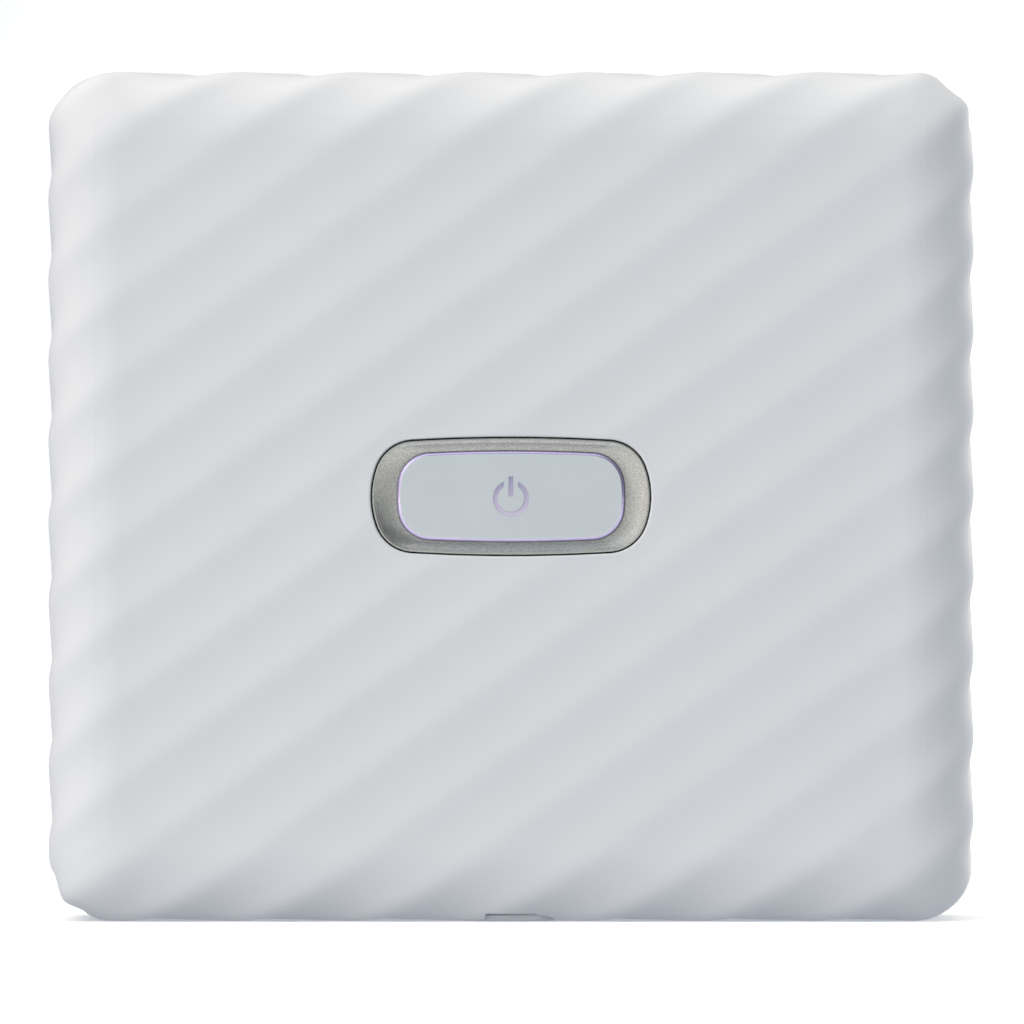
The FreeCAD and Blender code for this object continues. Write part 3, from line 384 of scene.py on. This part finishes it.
def make_rear_shell(outline):
    """Rear housing cut down to the waved skin round the door's opening."""
    centre = np.array([0.0, (OPEN_TOP + OPEN_BOTTOM) / 2])
    rows = skin_rows(outline, 1, opening_points(), centre, back_strength, Y_BACK - 3.0, -1)
    blank = new_mesh("rear_blank", *closed_rows(rows))
    outward(blank)
    return combine(solid_copy("rear_housing", "rear_shell"), blank, "INTERSECT", "MANIFOLD")


def door_distance(x, z):
    """Distance from each point of the door's face in to its outline with two round corners."""
    half, high = DOOR_HIGH[0], DOOR_HIGH[2]
    past_x = np.abs(x) - (half - DOOR_R)
    past_z = z - (high - DOOR_R)
    corner = DOOR_R - np.hypot(np.maximum(past_x, 0), np.maximum(past_z, 0))
    straight = np.minimum(half - np.abs(x), high - z)
    return np.maximum(np.where((past_x > 0) & (past_z > 0), corner, straight), 0.0)


def sheet_solid(top, y_below):
    """Vertices and faces of a closed solid between a grid of points and a flat plane behind it."""
    height, count = top.shape[:2]
    vertices = top.reshape(-1, 3)
    faces = [(r * count + c, r * count + c + 1, (r + 1) * count + c + 1, (r + 1) * count + c)
             for r in range(height - 1) for c in range(count - 1)]
    grid = np.arange(len(vertices)).reshape(height, count)
    border = np.concatenate([grid[0, :], grid[1:, -1], grid[-1, -2::-1], grid[-2:0:-1, 0]])
    below = vertices[border].copy()
    below[:, 1] = y_below
    first, total = len(vertices), len(border)
    for i in range(total):
        j = (i + 1) % total
        faces.append((int(border[i]), int(border[j]), first + j, first + i))
    faces.append(tuple(first + i for i in range(total)))
    return np.concatenate([vertices, below]), faces


def make_door_shell():
    """Outer skin of the film door: a waved sheet with softened edges."""
    half, low, high = DOOR_HIGH[0], DOOR_LOW[2], DOOR_HIGH[2]
    overhang = 0.6
    fine = np.array([0.0, 0.03, 0.08, 0.15, 0.22, 0.32, 0.5, 0.8])
    inside = np.arange(-half + 1.4, half - 1.2, COLUMN_STEP)
    xs = np.concatenate([[-half - overhang], -half + fine, inside, (half - fine)[::-1], [half + overhang]])
    inside = np.arange(low, high - 1.2, COLUMN_STEP)
    zs = np.concatenate([[low - overhang], inside, (high - fine)[::-1], [high + overhang]])
    x, z = np.meshgrid(xs, zs)
    cycles = x / WAVE_X + z / WAVE_Z + BACK_SHIFT
    drop = wave_drop(cycles, smooth_step(z, *RIDGE_FADE)) * smooth_step(z, *BEAD_FADE)
    y = Y_BACK - drop - edge_drop(door_distance(x, z))
    blank = new_mesh("door_blank", *sheet_solid(np.stack([x, y, z], -1), Y_BACK - 6.0))
    outward(blank)
    return combine(solid_copy("door_panel", "door_shell"), blank, "INTERSECT")


def finish_piece(obj, body, node, material, degrees=32):
    """Shades a piece, gives it its material, and ties it to the CAD."""
    shade(obj, degrees)
    obj.data.materials.clear()
    obj.data.materials.append(material)
    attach(obj, body)
    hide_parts(node)


# ---- materials ----------------------------------------------------------------------------------
def srgb(*levels):
    """Linear colour from 0-255 display levels."""
    linear = [(v / 255 / 12.92) if v <= 10 else ((v / 255 + 0.055) / 1.055) ** 2.4 for v in levels]
    return (*linear, 1.0)


class Material:
    """Small helper that builds a procedural material in object space."""

    def __init__(self, name, colour, roughness=0.5, **sockets):
        self.material = bpy.data.materials.new(name)
        self.material.use_nodes = True
        self.tree = self.material.node_tree
        self.shader = self.tree.nodes["Principled BSDF"]
        self.shader.inputs["Base Color"].default_value = colour
        self.shader.inputs["Roughness"].default_value = roughness
        for socket, value in sockets.items():
            self.shader.inputs[socket.replace("_", " ")].default_value = value
        self.colour = colour
        self.coords = self.node("ShaderNodeTexCoord").outputs["Object"]
        self.bump_normal = None

    def node(self, kind, **settings):
        made = self.tree.nodes.new(kind)
        for key, value in settings.items():
            setattr(made, key, value)
        return made

    def link(self, source, target):
        self.tree.links.new(source, target)

    def stretched(self, scale):
        """Object coordinates scaled apart along X, Y and Z."""
        mapping = self.node("ShaderNodeMapping")
        mapping.inputs["Scale"].default_value = scale
        self.link(self.coords, mapping.inputs["Vector"])
        return mapping.outputs["Vector"]

    def noise(self, size_mm, detail=2.0, roughness=0.5, stretch=(1, 1, 1)):
        """Noise whose features are about size_mm across."""
        texture = self.node("ShaderNodeTexNoise")
        texture.inputs["Scale"].default_value = 1.0 / (size_mm * MM)
        texture.inputs["Detail"].default_value = detail
        texture.inputs["Roughness"].default_value = roughness
        self.link(self.stretched(stretch), texture.inputs["Vector"])
        return texture.outputs["Fac"]

    def cells(self, size_mm, feature="F1"):
        """Cell pattern whose cells are about size_mm across."""
        texture = self.node("ShaderNodeTexVoronoi", feature=feature)
        texture.inputs["Scale"].default_value = 1.0 / (size_mm * MM)
        self.link(self.coords, texture.inputs["Vector"])
        return texture.outputs["Distance"]

    def axes(self):
        """Object coordinates split into X, Y and Z."""
        split = self.node("ShaderNodeSeparateXYZ")
        self.link(self.coords, split.inputs[0])
        return split.outputs

    def math(self, operation, first, second=None):
        """Math node on numbers or other nodes' outputs."""
        made = self.node("ShaderNodeMath", operation=operation)
        for socket, value in zip(made.inputs, (first, second)):
            if isinstance(value, bpy.types.NodeSocket):
                self.link(value, socket)
            elif value is not None:
                socket.default_value = value
        return made.outputs["Value"]

    def spread(self, source, low, high, from_low=0.3, from_high=0.7):
        """Maps a 0 to 1 pattern to another range."""
        remap = self.node("ShaderNodeMapRange")
        remap.inputs["From Min"].default_value = from_low
        remap.inputs["From Max"].default_value = from_high
        remap.inputs["To Min"].default_value = low
        remap.inputs["To Max"].default_value = high
        self.link(source, remap.inputs["Value"])
        return remap.outputs["Result"]

    def add_bump(self, height, distance_mm):
        """Stacks a bump of that depth on the bumps added before."""
        bump = self.node("ShaderNodeBump")
        bump.inputs["Strength"].default_value = 1.0
        bump.inputs["Distance"].default_value = distance_mm * MM
        self.link(height, bump.inputs["Height"])
        if self.bump_normal:
            self.link(self.bump_normal, bump.inputs["Normal"])
        self.bump_normal = bump.outputs["Normal"]
        self.link(self.bump_normal, self.shader.inputs["Normal"])

    def vary_colour(self, factor, other):
        """Mixes by a 0 to 1 pattern towards another colour."""
        mix = self.node("ShaderNodeMix", data_type="RGBA")
        mix.inputs["A"].default_value = self.colour
        mix.inputs["B"].default_value = other
        self.link(factor, mix.inputs["Factor"])
        self.link(mix.outputs["Result"], self.shader.inputs["Base Color"])

    def mottle(self, size_mm, detail, share):
        """Patches of the given size in the same colour, darkened to a share of it."""
        darker = tuple(c * share for c in self.colour[:3]) + (1,)
        self.vary_colour(self.spread(self.noise(size_mm, detail), 0, 1), darker)

    def vary_roughness(self, factor, low, high):
        self.link(self.spread(factor, low, high), self.shader.inputs["Roughness"])


def shell_finish():
    """Matt plastic with a fine leather-like mould grain and a faint line where the mould's slides met."""
    m = Material("shell", srgb(232, 233, 238), 0.5, Specular_IOR_Level=0.4)
    m.mottle(14, 3, 0.985)
    m.vary_roughness(m.noise(0.5, 3), 0.44, 0.56)
    m.add_bump(m.cells(0.55, "SMOOTH_F1"), 0.012)
    m.add_bump(m.noise(0.16, 3, 0.6), 0.0048)
    m.add_bump(mould_line(m), 0.02)
    return m.material


def mould_line(m):
    """Height of a hair line round the face, a little in from the outline, that fades out near the bottom."""
    line_inset, half_width = 7.25, 0.09
    fade_low, fade_high = 12, 26
    axes = m.axes()
    across = m.math("SUBTRACT", (WIDTH / 2 - line_inset) * MM, m.math("ABSOLUTE", axes["X"]))
    up = m.math("SUBTRACT", (HEIGHT - line_inset) * MM, axes["Z"])
    near = m.math("ABSOLUTE", m.math("MINIMUM", across, up))
    line = m.spread(near, 1.0, 0.0, half_width * MM * 0.3, half_width * MM)
    fade = m.spread(axes["Z"], 0.0, 1.0, fade_low * MM, fade_high * MM)
    front = m.spread(axes["Y"], 1.0, 0.0, (Y_FRONT + EDGE_R) * MM, (Y_FRONT + EDGE_R + 1) * MM)
    return m.math("MULTIPLY", m.math("MULTIPLY", line, fade), front)


def plastic(name, colour, roughness=0.45, grain_mm=0.35, depth=0.01, variation=0.9, **sockets):
    """Moulded plastic with a fine spark-eroded grain."""
    m = Material(name, colour, roughness, **sockets)
    m.mottle(5, 4, variation)
    m.vary_roughness(m.noise(grain_mm * 3, 3), roughness - 0.06, roughness + 0.08)
    m.add_bump(m.noise(grain_mm, 3, 0.6), depth)
    return m.material


def metal(name, colour, roughness, stretch, grain_mm=0.12, depth=0.004):
    """Metal with a drawn or brushed grain along the axis that is stretched least."""
    m = Material(name, colour, roughness, Metallic=1.0)
    m.mottle(3, 3, 0.86)
    m.vary_roughness(m.noise(grain_mm * 2, 3, stretch=stretch), roughness - 0.07, roughness + 0.09)
    m.add_bump(m.noise(grain_mm, 3, 0.6, stretch), depth)
    return m.material


def satin_ring():
    """Bead-blasted silver with a fine sparkle."""
    m = Material("satin_silver", srgb(172, 174, 174), 0.42, Metallic=1.0)
    m.mottle(0.2, 2, 0.62)
    m.vary_roughness(m.noise(0.3, 2), 0.36, 0.5)
    m.add_bump(m.noise(0.12, 2, 0.6), 0.008)
    return m.material


def gloss(name, colour, variation, **sockets):
    """Polished lacquer with a slow waviness."""
    m = Material(name, colour, 0.16, Coat_Weight=0.6, Coat_Roughness=0.05, **sockets)
    m.mottle(9, 2, variation)
    m.vary_roughness(m.noise(4, 2), 0.12, 0.22)
    m.add_bump(m.noise(6, 2), 0.004)
    return m.material


def inlay():
    """Pearl lavender, with a painted reflection that lightens it downwards."""
    m = Material("lavender_inlay", srgb(166, 160, 196), 0.28, Coat_Weight=0.4, Coat_Roughness=0.08)
    # painted reflection: the sign's colour lightens from its top towards its bottom
    fall = m.spread(m.axes()["Z"], 1.0, 0.0, (BUTTON_Z - 3.2) * MM, (BUTTON_Z + 3.0) * MM)
    m.vary_colour(fall, srgb(222, 212, 236))
    m.vary_roughness(m.noise(0.2, 2), 0.24, 0.34)
    m.add_bump(m.noise(0.15, 2), 0.003)
    return m.material


def clear(name, colour, roughness):
    """Clear pane with faint moulding streaks."""
    m = Material(name, colour, roughness, Transmission_Weight=0.9, IOR=1.49)
    m.mottle(6, 2, 0.94)
    m.vary_roughness(m.noise(2, 2), roughness, roughness + 0.06)
    m.add_bump(m.noise(3, 2), 0.003)
    return m.material


def circuit():
    """Green solder mask over copper tracks."""
    m = Material("circuit_board", srgb(22, 74, 52), 0.32, Coat_Weight=0.3, Coat_Roughness=0.2)
    axes = m.axes()
    flat = m.node("ShaderNodeCombineXYZ")
    m.link(axes["X"], flat.inputs["X"])
    m.link(axes["Z"], flat.inputs["Y"])
    tracks = m.node("ShaderNodeTexBrick")
    tracks.inputs["Scale"].default_value = 1.0 / (4.0 * MM)
    tracks.inputs["Mortar Size"].default_value = 0.06
    tracks.inputs["Mortar Smooth"].default_value = 0.2
    m.link(flat.outputs["Vector"], tracks.inputs["Vector"])
    m.vary_colour(tracks.outputs["Fac"], srgb(64, 128, 78))
    m.vary_roughness(m.noise(0.8, 3), 0.26, 0.4)
    m.add_bump(tracks.outputs["Fac"], 0.02)
    m.add_bump(m.noise(0.2, 2), 0.004)
    return m.material


def fibrous(name, colour, size_mm, depth):
    """Felt or foam: a coarse open surface."""
    m = Material(name, colour, 0.95, Sheen_Weight=0.3, Specular_IOR_Level=0.2)
    m.mottle(size_mm, 4, 0.6)
    m.vary_roughness(m.noise(size_mm, 3), 0.85, 0.95)
    m.add_bump(m.cells(size_mm), depth)
    m.add_bump(m.noise(size_mm * 0.4, 4, 0.7), depth * 0.5)
    return m.material


def make_finishes():
    """One finish for each material slot of the CAD."""
    along_x, along_z, all_ways = (0.06, 1, 1), (1, 1, 0.06), (1, 1, 1)
    return {
        "shell": shell_finish(),
        "black_plastic": plastic("black_plastic", srgb(30, 30, 32), 0.5, 0.3, 0.012, 0.8),
        "satin_silver": satin_ring(),
        "ice_gloss": gloss("ice_gloss", srgb(216, 223, 229), 0.97),
        "lavender_inlay": inlay(),
        "grey_plastic": plastic("grey_plastic", srgb(112, 114, 118), 0.5, 0.3, 0.012, 0.88),
        "switch_body": plastic("switch_body", srgb(52, 52, 56), 0.36, 0.2, 0.006),
        "yellow_mark": plastic("yellow_mark", srgb(240, 196, 34), 0.4, 0.25, 0.004, 0.94),
        "felt": fibrous("felt", srgb(24, 24, 26), 0.12, 0.08),
        "lens_glass": clear("lens_glass", srgb(206, 220, 222), 0.02),
        "circuit_board": circuit(),
        "flex_film": plastic("flex_film", srgb(188, 112, 34), 0.3, 0.8, 0.004, 0.8, Coat_Weight=0.5),
        "spring_steel": metal("spring_steel", srgb(186, 188, 192), 0.28, along_x),
        "zinc_steel": metal("zinc_steel", srgb(176, 180, 184), 0.4, all_ways, 0.8, 0.006),
        "bearing_plastic": plastic("bearing_plastic", srgb(206, 200, 184), 0.4, 0.3, 0.006),
        "roller_steel": metal("roller_steel", srgb(200, 202, 206), 0.16, along_x, 0.1, 0.002),
        "gear_plastic": plastic("gear_plastic", srgb(224, 222, 212), 0.38, 0.3, 0.006, 0.93),
        "brass": metal("brass", srgb(212, 176, 92), 0.26, along_x),
        "bright_steel": metal("bright_steel", srgb(208, 210, 214), 0.18, along_x, 0.08, 0.002),
        "motor_can": metal("motor_can", srgb(170, 172, 176), 0.34, along_x),
        "chip_black": plastic("chip_black", srgb(26, 27, 29), 0.42, 0.12, 0.005, 0.85),
        "cell_wrap": plastic("cell_wrap", srgb(58, 92, 142), 0.3, 2.0, 0.02, 0.85, Coat_Weight=0.4),
        "lead_red": plastic("lead_red", srgb(166, 34, 30), 0.42, 0.3, 0.004),
        "window_clear": clear("window_clear", srgb(176, 182, 186), 0.05),
        "foam": fibrous("foam", srgb(34, 34, 36), 0.3, 0.15),
        "soft_rubber": plastic("soft_rubber", srgb(206, 208, 214), 0.62, 0.25, 0.01, 0.96),
        "screw_steel": metal("screw_steel", srgb(152, 154, 158), 0.32, along_z, 0.1, 0.003),
    }


# ---- power button -------------------------------------------------------------------------------
RING_TOP, RING_BACK = node_box("button_ring")[0][1], node_box("button_ring")[1][1]
PLATE_TOP, PLATE_BACK = node_box("button_plate")[0][1], node_box("button_plate")[1][1]
RIM_GAP = 0.24                   # gap between the ring and the case's opening
RIM_PROFILE = [(0.26, 0.07), (0.3, 0.02), (0.36, 0.0), (0.5, 0.0), (0.56, 0.02), (0.6, 0.07),
               (0.64, 0.1), (0.82, 0.115), (0.86, 0.13), (0.9, 0.17)]    # inset and drop of rim and step
DISH_START = (0.94, 0.2)         # inset and drop where the dish starts
DISH_DEPTH = 0.75
PLATE_BEVEL = (0.42, 0.34)       # width and depth of the plate's chamfer


def looped_rows(rows):
    """Vertices and faces of a ring-shaped body whose last row joins its first."""
    count = len(rows[0])
    total = len(rows)
    faces = []
    for r in range(total):
        base, following = r * count, (r + 1) % total * count
        for i in range(count):
            j = (i + 1) % count
            faces.append((base + i, base + j, following + j, following + i))
    return np.concatenate(rows), faces


def at_depth(flat, y):
    """Points of a flat outline placed in the plane y."""
    return np.stack([flat[:, 0], np.full(len(flat), y), flat[:, 1]], 1)


def distinct(points):
    """True for every point but the ones that repeat the point before, where two arcs share an end."""
    gaps = np.hypot(*(points - np.roll(points, 1, 0)).T)
    return gaps > 1e-6


def make_button_ring(material):
    """Silver ring: fine rim, a small step, and a concave dish down to the plate."""
    keep = distinct(oval_points(BUTTON_HOLE))

    def ring_at(outline, inset, y):
        return at_depth(oval_points(outline, inset)[keep], y)

    rows = [ring_at(BUTTON_HOLE, RIM_GAP, RING_BACK), ring_at(BUTTON_HOLE, RIM_GAP, RING_TOP + 0.14)]
    for inset, drop in RIM_PROFILE:
        rows.append(ring_at(BUTTON_HOLE, inset, RING_TOP + drop))
    first_inset, first_drop = DISH_START
    start = ring_at(BUTTON_HOLE, first_inset, RING_TOP)
    inner = ring_at(BUTTON_PLATE, -0.08, RING_TOP)
    steps = 18
    for k in range(steps + 1):
        t = k / steps
        fall = first_drop + (DISH_DEPTH - first_drop) * (1 - (1 - t) ** 2)
        rows.append(start + (inner - start) * t + np.array([0.0, fall, 0.0]))
    rows.append(ring_at(BUTTON_PLATE, -0.05, RING_TOP + DISH_DEPTH + 0.02))
    rows.append(ring_at(BUTTON_PLATE, -0.04, RING_BACK))
    ring = new_mesh("power_button_ring", *looped_rows(rows))
    outward(ring)
    finish_piece(ring, "power_button", "button_ring", material, 40)


def sign_solids(name, y0, y1, grow=0.0):
    """Plain power sign: an open ring and a bar, as two closed solids."""
    outer_r, inner_r, centre_z = 2.7 + grow, 2.0 - grow, BUTTON_Z - 0.3
    half_gap, bar_half, bar_low, bar_high = 1.05 - grow, 0.36 + grow, BUTTON_Z - grow, BUTTON_Z + 3.0 + grow
    vertices, faces = [], []

    def prism(flat):
        base, n = len(vertices), len(flat)
        vertices.extend((x, y0, z) for x, z in flat)
        vertices.extend((x, y1, z) for x, z in flat)
        faces.append(tuple(base + i for i in range(n)))
        faces.append(tuple(base + n + i for i in range(n))[::-1])
        for i in range(n):
            j = (i + 1) % n
            faces.append((base + i, base + n + i, base + n + j, base + j))

    def arc(radius, turns):
        return [(radius * math.sin(t), centre_z + radius * math.cos(t)) for t in turns]

    def sweep(radius):
        start = math.asin(half_gap / radius)
        return np.linspace(start, 2 * math.pi - start, 72)

    prism(arc(outer_r, sweep(outer_r)) + arc(inner_r, sweep(inner_r)[::-1]))
    corner = 0.14
    bar = []
    for cx, cz, first in ((1, 1, 0), (-1, 1, 1), (-1, -1, 2), (1, -1, 3)):
        x = cx * (bar_half - corner)
        z = bar_high - corner if cz > 0 else bar_low + corner
        for k in range(5):
            t = (first + k / 4) * math.pi / 2
            bar.append((x + corner * math.cos(t), z + corner * math.sin(t)))
    prism(bar)
    obj = new_mesh(name, vertices, faces)
    outward(obj)
    return obj


def make_button_plate(face_material, edge_material):
    """Gloss plate with a softly rounded chamfer and a shallow groove for the sign."""
    keep = distinct(oval_points(BUTTON_PLATE))

    def ring_at(inset, y):
        return at_depth(oval_points(BUTTON_PLATE, inset)[keep], y)

    wide, deep = PLATE_BEVEL
    rows = [ring_at(0.0, PLATE_BACK), ring_at(0.0, PLATE_TOP + deep + 0.05)]
    steps = 8
    for k in range(steps + 1):
        t = k / steps
        bulge = 0.05 * math.sin(math.pi * t)
        inset, drop = wide * t - bulge * 0.7, deep * (1 - t) - bulge * 0.7
        rows.append(ring_at(max(inset, 0.0), PLATE_TOP + max(drop, 0.0)))
    rows.append(ring_at(wide + 0.12, PLATE_TOP))
    plate = new_mesh("power_button_plate", *closed_rows(rows))
    outward(plate)
    combine(plate, sign_solids("sign_cut", PLATE_TOP - 0.2, PLATE_TOP + 0.15), "DIFFERENCE")
    finish_piece(plate, "power_button", "button_plate", face_material, 50)
    plate.data.materials.append(edge_material)
    for polygon in plate.data.polygons:
        if 0.25 < -polygon.normal.y < 0.97:
            polygon.material_index = 1


def make_button_sign(material):
    """Inlay of the power sign, a little below the plate's face."""
    sign = sign_solids("power_button_sign", PLATE_TOP + 0.08, PLATE_TOP + 0.2, -0.015)
    finish_piece(sign, "power_button", "button_sign", material, 30)


# ---- pieces -------------------------------------------------------------------------------------
finishes = make_finishes()
slot_of = {part["node"]: part["material_slot"] for part in frame["record"]["subparts"]}
for node_name, node in frame["nodes"].items():
    node.data.materials.clear()
    node.data.materials.append(finishes[slot_of[node_name]])

case_outline = Outline()
finish_piece(make_front_shell(case_outline), "case", "front_housing", finishes["shell"])
finish_piece(make_rear_shell(case_outline), "case", "rear_housing", finishes["shell"])
finish_piece(make_door_shell(), "film_door", "door_panel", finishes["shell"])
make_button_ring(finishes["satin_silver"])
make_button_plate(finishes["ice_gloss"], gloss("lavender_edge", srgb(190, 178, 222), 0.9, Metallic=0.6))
make_button_sign(finishes["lavender_inlay"])

# ---- stage, light and camera --------------------------------------------------------------------
# Soft lights of the studio: the direction that they come from, how tight they are, and their colour.
STUDIO = [
    ((0, 1, 0), 40.0, (0.80, 0.80, 0.80)),        # backdrop
    ((0, 0, 1), 6.0, (2.03, 1.99, 1.83)),         # overhead panel
    ((-1, -1, 1), 6.0, (0.93, 1.15, 1.36)),       # cool panel, high at the front left
    ((-1, 0, 1), 6.0, (0.65, 0.52, 0.38)),        # warm panel, high on the left
    ((0, -1, -1), 6.0, (1.23, 1.35, 1.44)),       # table bounce, low in front
    ((-1, 1, 0), 6.0, (0.00, 0.15, 0.34)),        # faint cool rim, behind on the left
    ((1, 1, 0), 6.0, (1.85, 1.70, 1.55)),         # rim panel, behind on the right
    ((2, 1, 0), 10.0, (1.20, 1.40, 1.55)),        # cool rim panel, right
]
KEY_TOWARD = (-1, -1, 0.35)
KEY_DISTANCE = 0.9               # metres
KEY_SIZE = 1.0                   # metres
KEY_POWER = 3.2                  # watts
KEY_COLOUR = (1.2, 1.0, 0.78)
FLOOR_HALF = 6.0                 # metres
FLOOR_WHITE = (1.4, 1.4, 1.4, 1)
CAMERA_DISTANCE = 1.5            # metres from the plane where the front's roll meets the side walls
CAMERA_SIDE = 0.15               # millimetres right of the case's middle
CAMERA_DROP = 2.33               # millimetres below it
VIEW_WIDTH = 153.774             # millimetres across the picture at that distance
SENSOR_WIDTH = 36.0


def make_world():
    """Studio surroundings as a few broad soft lobes of light."""
    world = bpy.data.worlds.new("studio")
    bpy.context.scene.world = world
    world.use_nodes = True
    tree = world.node_tree
    nodes, links = tree.nodes, tree.links
    direction = nodes.new("ShaderNodeTexCoord").outputs["Generated"]
    lobes = []
    for toward, tightness, colour in STUDIO:
        dot = nodes.new("ShaderNodeVectorMath")
        dot.operation = "DOT_PRODUCT"
        dot.inputs[1].default_value = Vector(toward).normalized()
        links.new(direction, dot.inputs[0])
        power = nodes.new("ShaderNodeMath")
        power.operation = "MULTIPLY_ADD"
        power.inputs[1].default_value = tightness
        power.inputs[2].default_value = -tightness
        links.new(dot.outputs["Value"], power.inputs[0])
        falloff = nodes.new("ShaderNodeMath")
        falloff.operation = "EXPONENT"
        links.new(power.outputs["Value"], falloff.inputs[0])
        lobe = nodes.new("ShaderNodeVectorMath")
        lobe.operation = "MULTIPLY"
        lobe.inputs[1].default_value = colour
        links.new(falloff.outputs["Value"], lobe.inputs[0])
        lobes.append(lobe.outputs["Vector"])
    total = lobes[0]
    for lobe in lobes[1:]:
        add = nodes.new("ShaderNodeVectorMath")
        add.operation = "ADD"
        links.new(total, add.inputs[0])
        links.new(lobe, add.inputs[1])
        total = add.outputs["Vector"]
    links.new(total, nodes["Background"].inputs["Color"])


def make_floor():
    """Wide white floor that takes shadows, but neither blocks nor returns the case's soft light."""
    half = FLOOR_HALF / MM
    corners = [(-half, -half, 0), (half, -half, 0), (half, half, 0), (-half, half, 0)]
    floor = new_mesh("floor", corners, [(0, 1, 2, 3)])
    floor.visible_diffuse = False
    floor.visible_shadow = False
    m = Material("floor_white", FLOOR_WHITE, 1.0, Specular_IOR_Level=0.0)
    m.add_bump(m.noise(2, 2), 0.002)
    floor.data.materials.append(m.material)


def make_key_panel():
    """Large soft panel near the printer; the face grows darker away from it."""
    light = bpy.data.lights.new("key_panel", "AREA")
    light.shape = "SQUARE"
    light.size = KEY_SIZE
    light.energy = KEY_POWER
    light.color = KEY_COLOUR
    obj = bpy.data.objects.new("key_panel", light)
    toward = Vector(KEY_TOWARD).normalized()
    obj.location = toward * KEY_DISTANCE + Vector((0, 0, HEIGHT / 2 * MM))
    obj.rotation_euler = toward.to_track_quat("Z", "Y").to_euler()
    bpy.context.scene.collection.objects.link(obj)


def make_camera():
    """Long lens straight at the front, a little below the case's middle."""
    camera = bpy.data.cameras.new("camera")
    camera.sensor_width = SENSOR_WIDTH
    camera.lens = SENSOR_WIDTH * CAMERA_DISTANCE / (VIEW_WIDTH * MM)
    camera.clip_start, camera.clip_end = 0.05, 20
    obj = bpy.data.objects.new("camera", camera)
    roll_y, middle_z = Y_FRONT * MM + EDGE_R * MM, HEIGHT / 2 * MM
    obj.location = (CAMERA_SIDE * MM, roll_y - CAMERA_DISTANCE, middle_z - CAMERA_DROP * MM)
    obj.rotation_euler = (math.pi / 2, 0, 0)
    bpy.context.scene.collection.objects.link(obj)
    bpy.context.scene.camera = obj


make_floor()
make_key_panel()
make_camera()
make_world()
bpy.context.scene.view_settings.view_transform = "Standard"
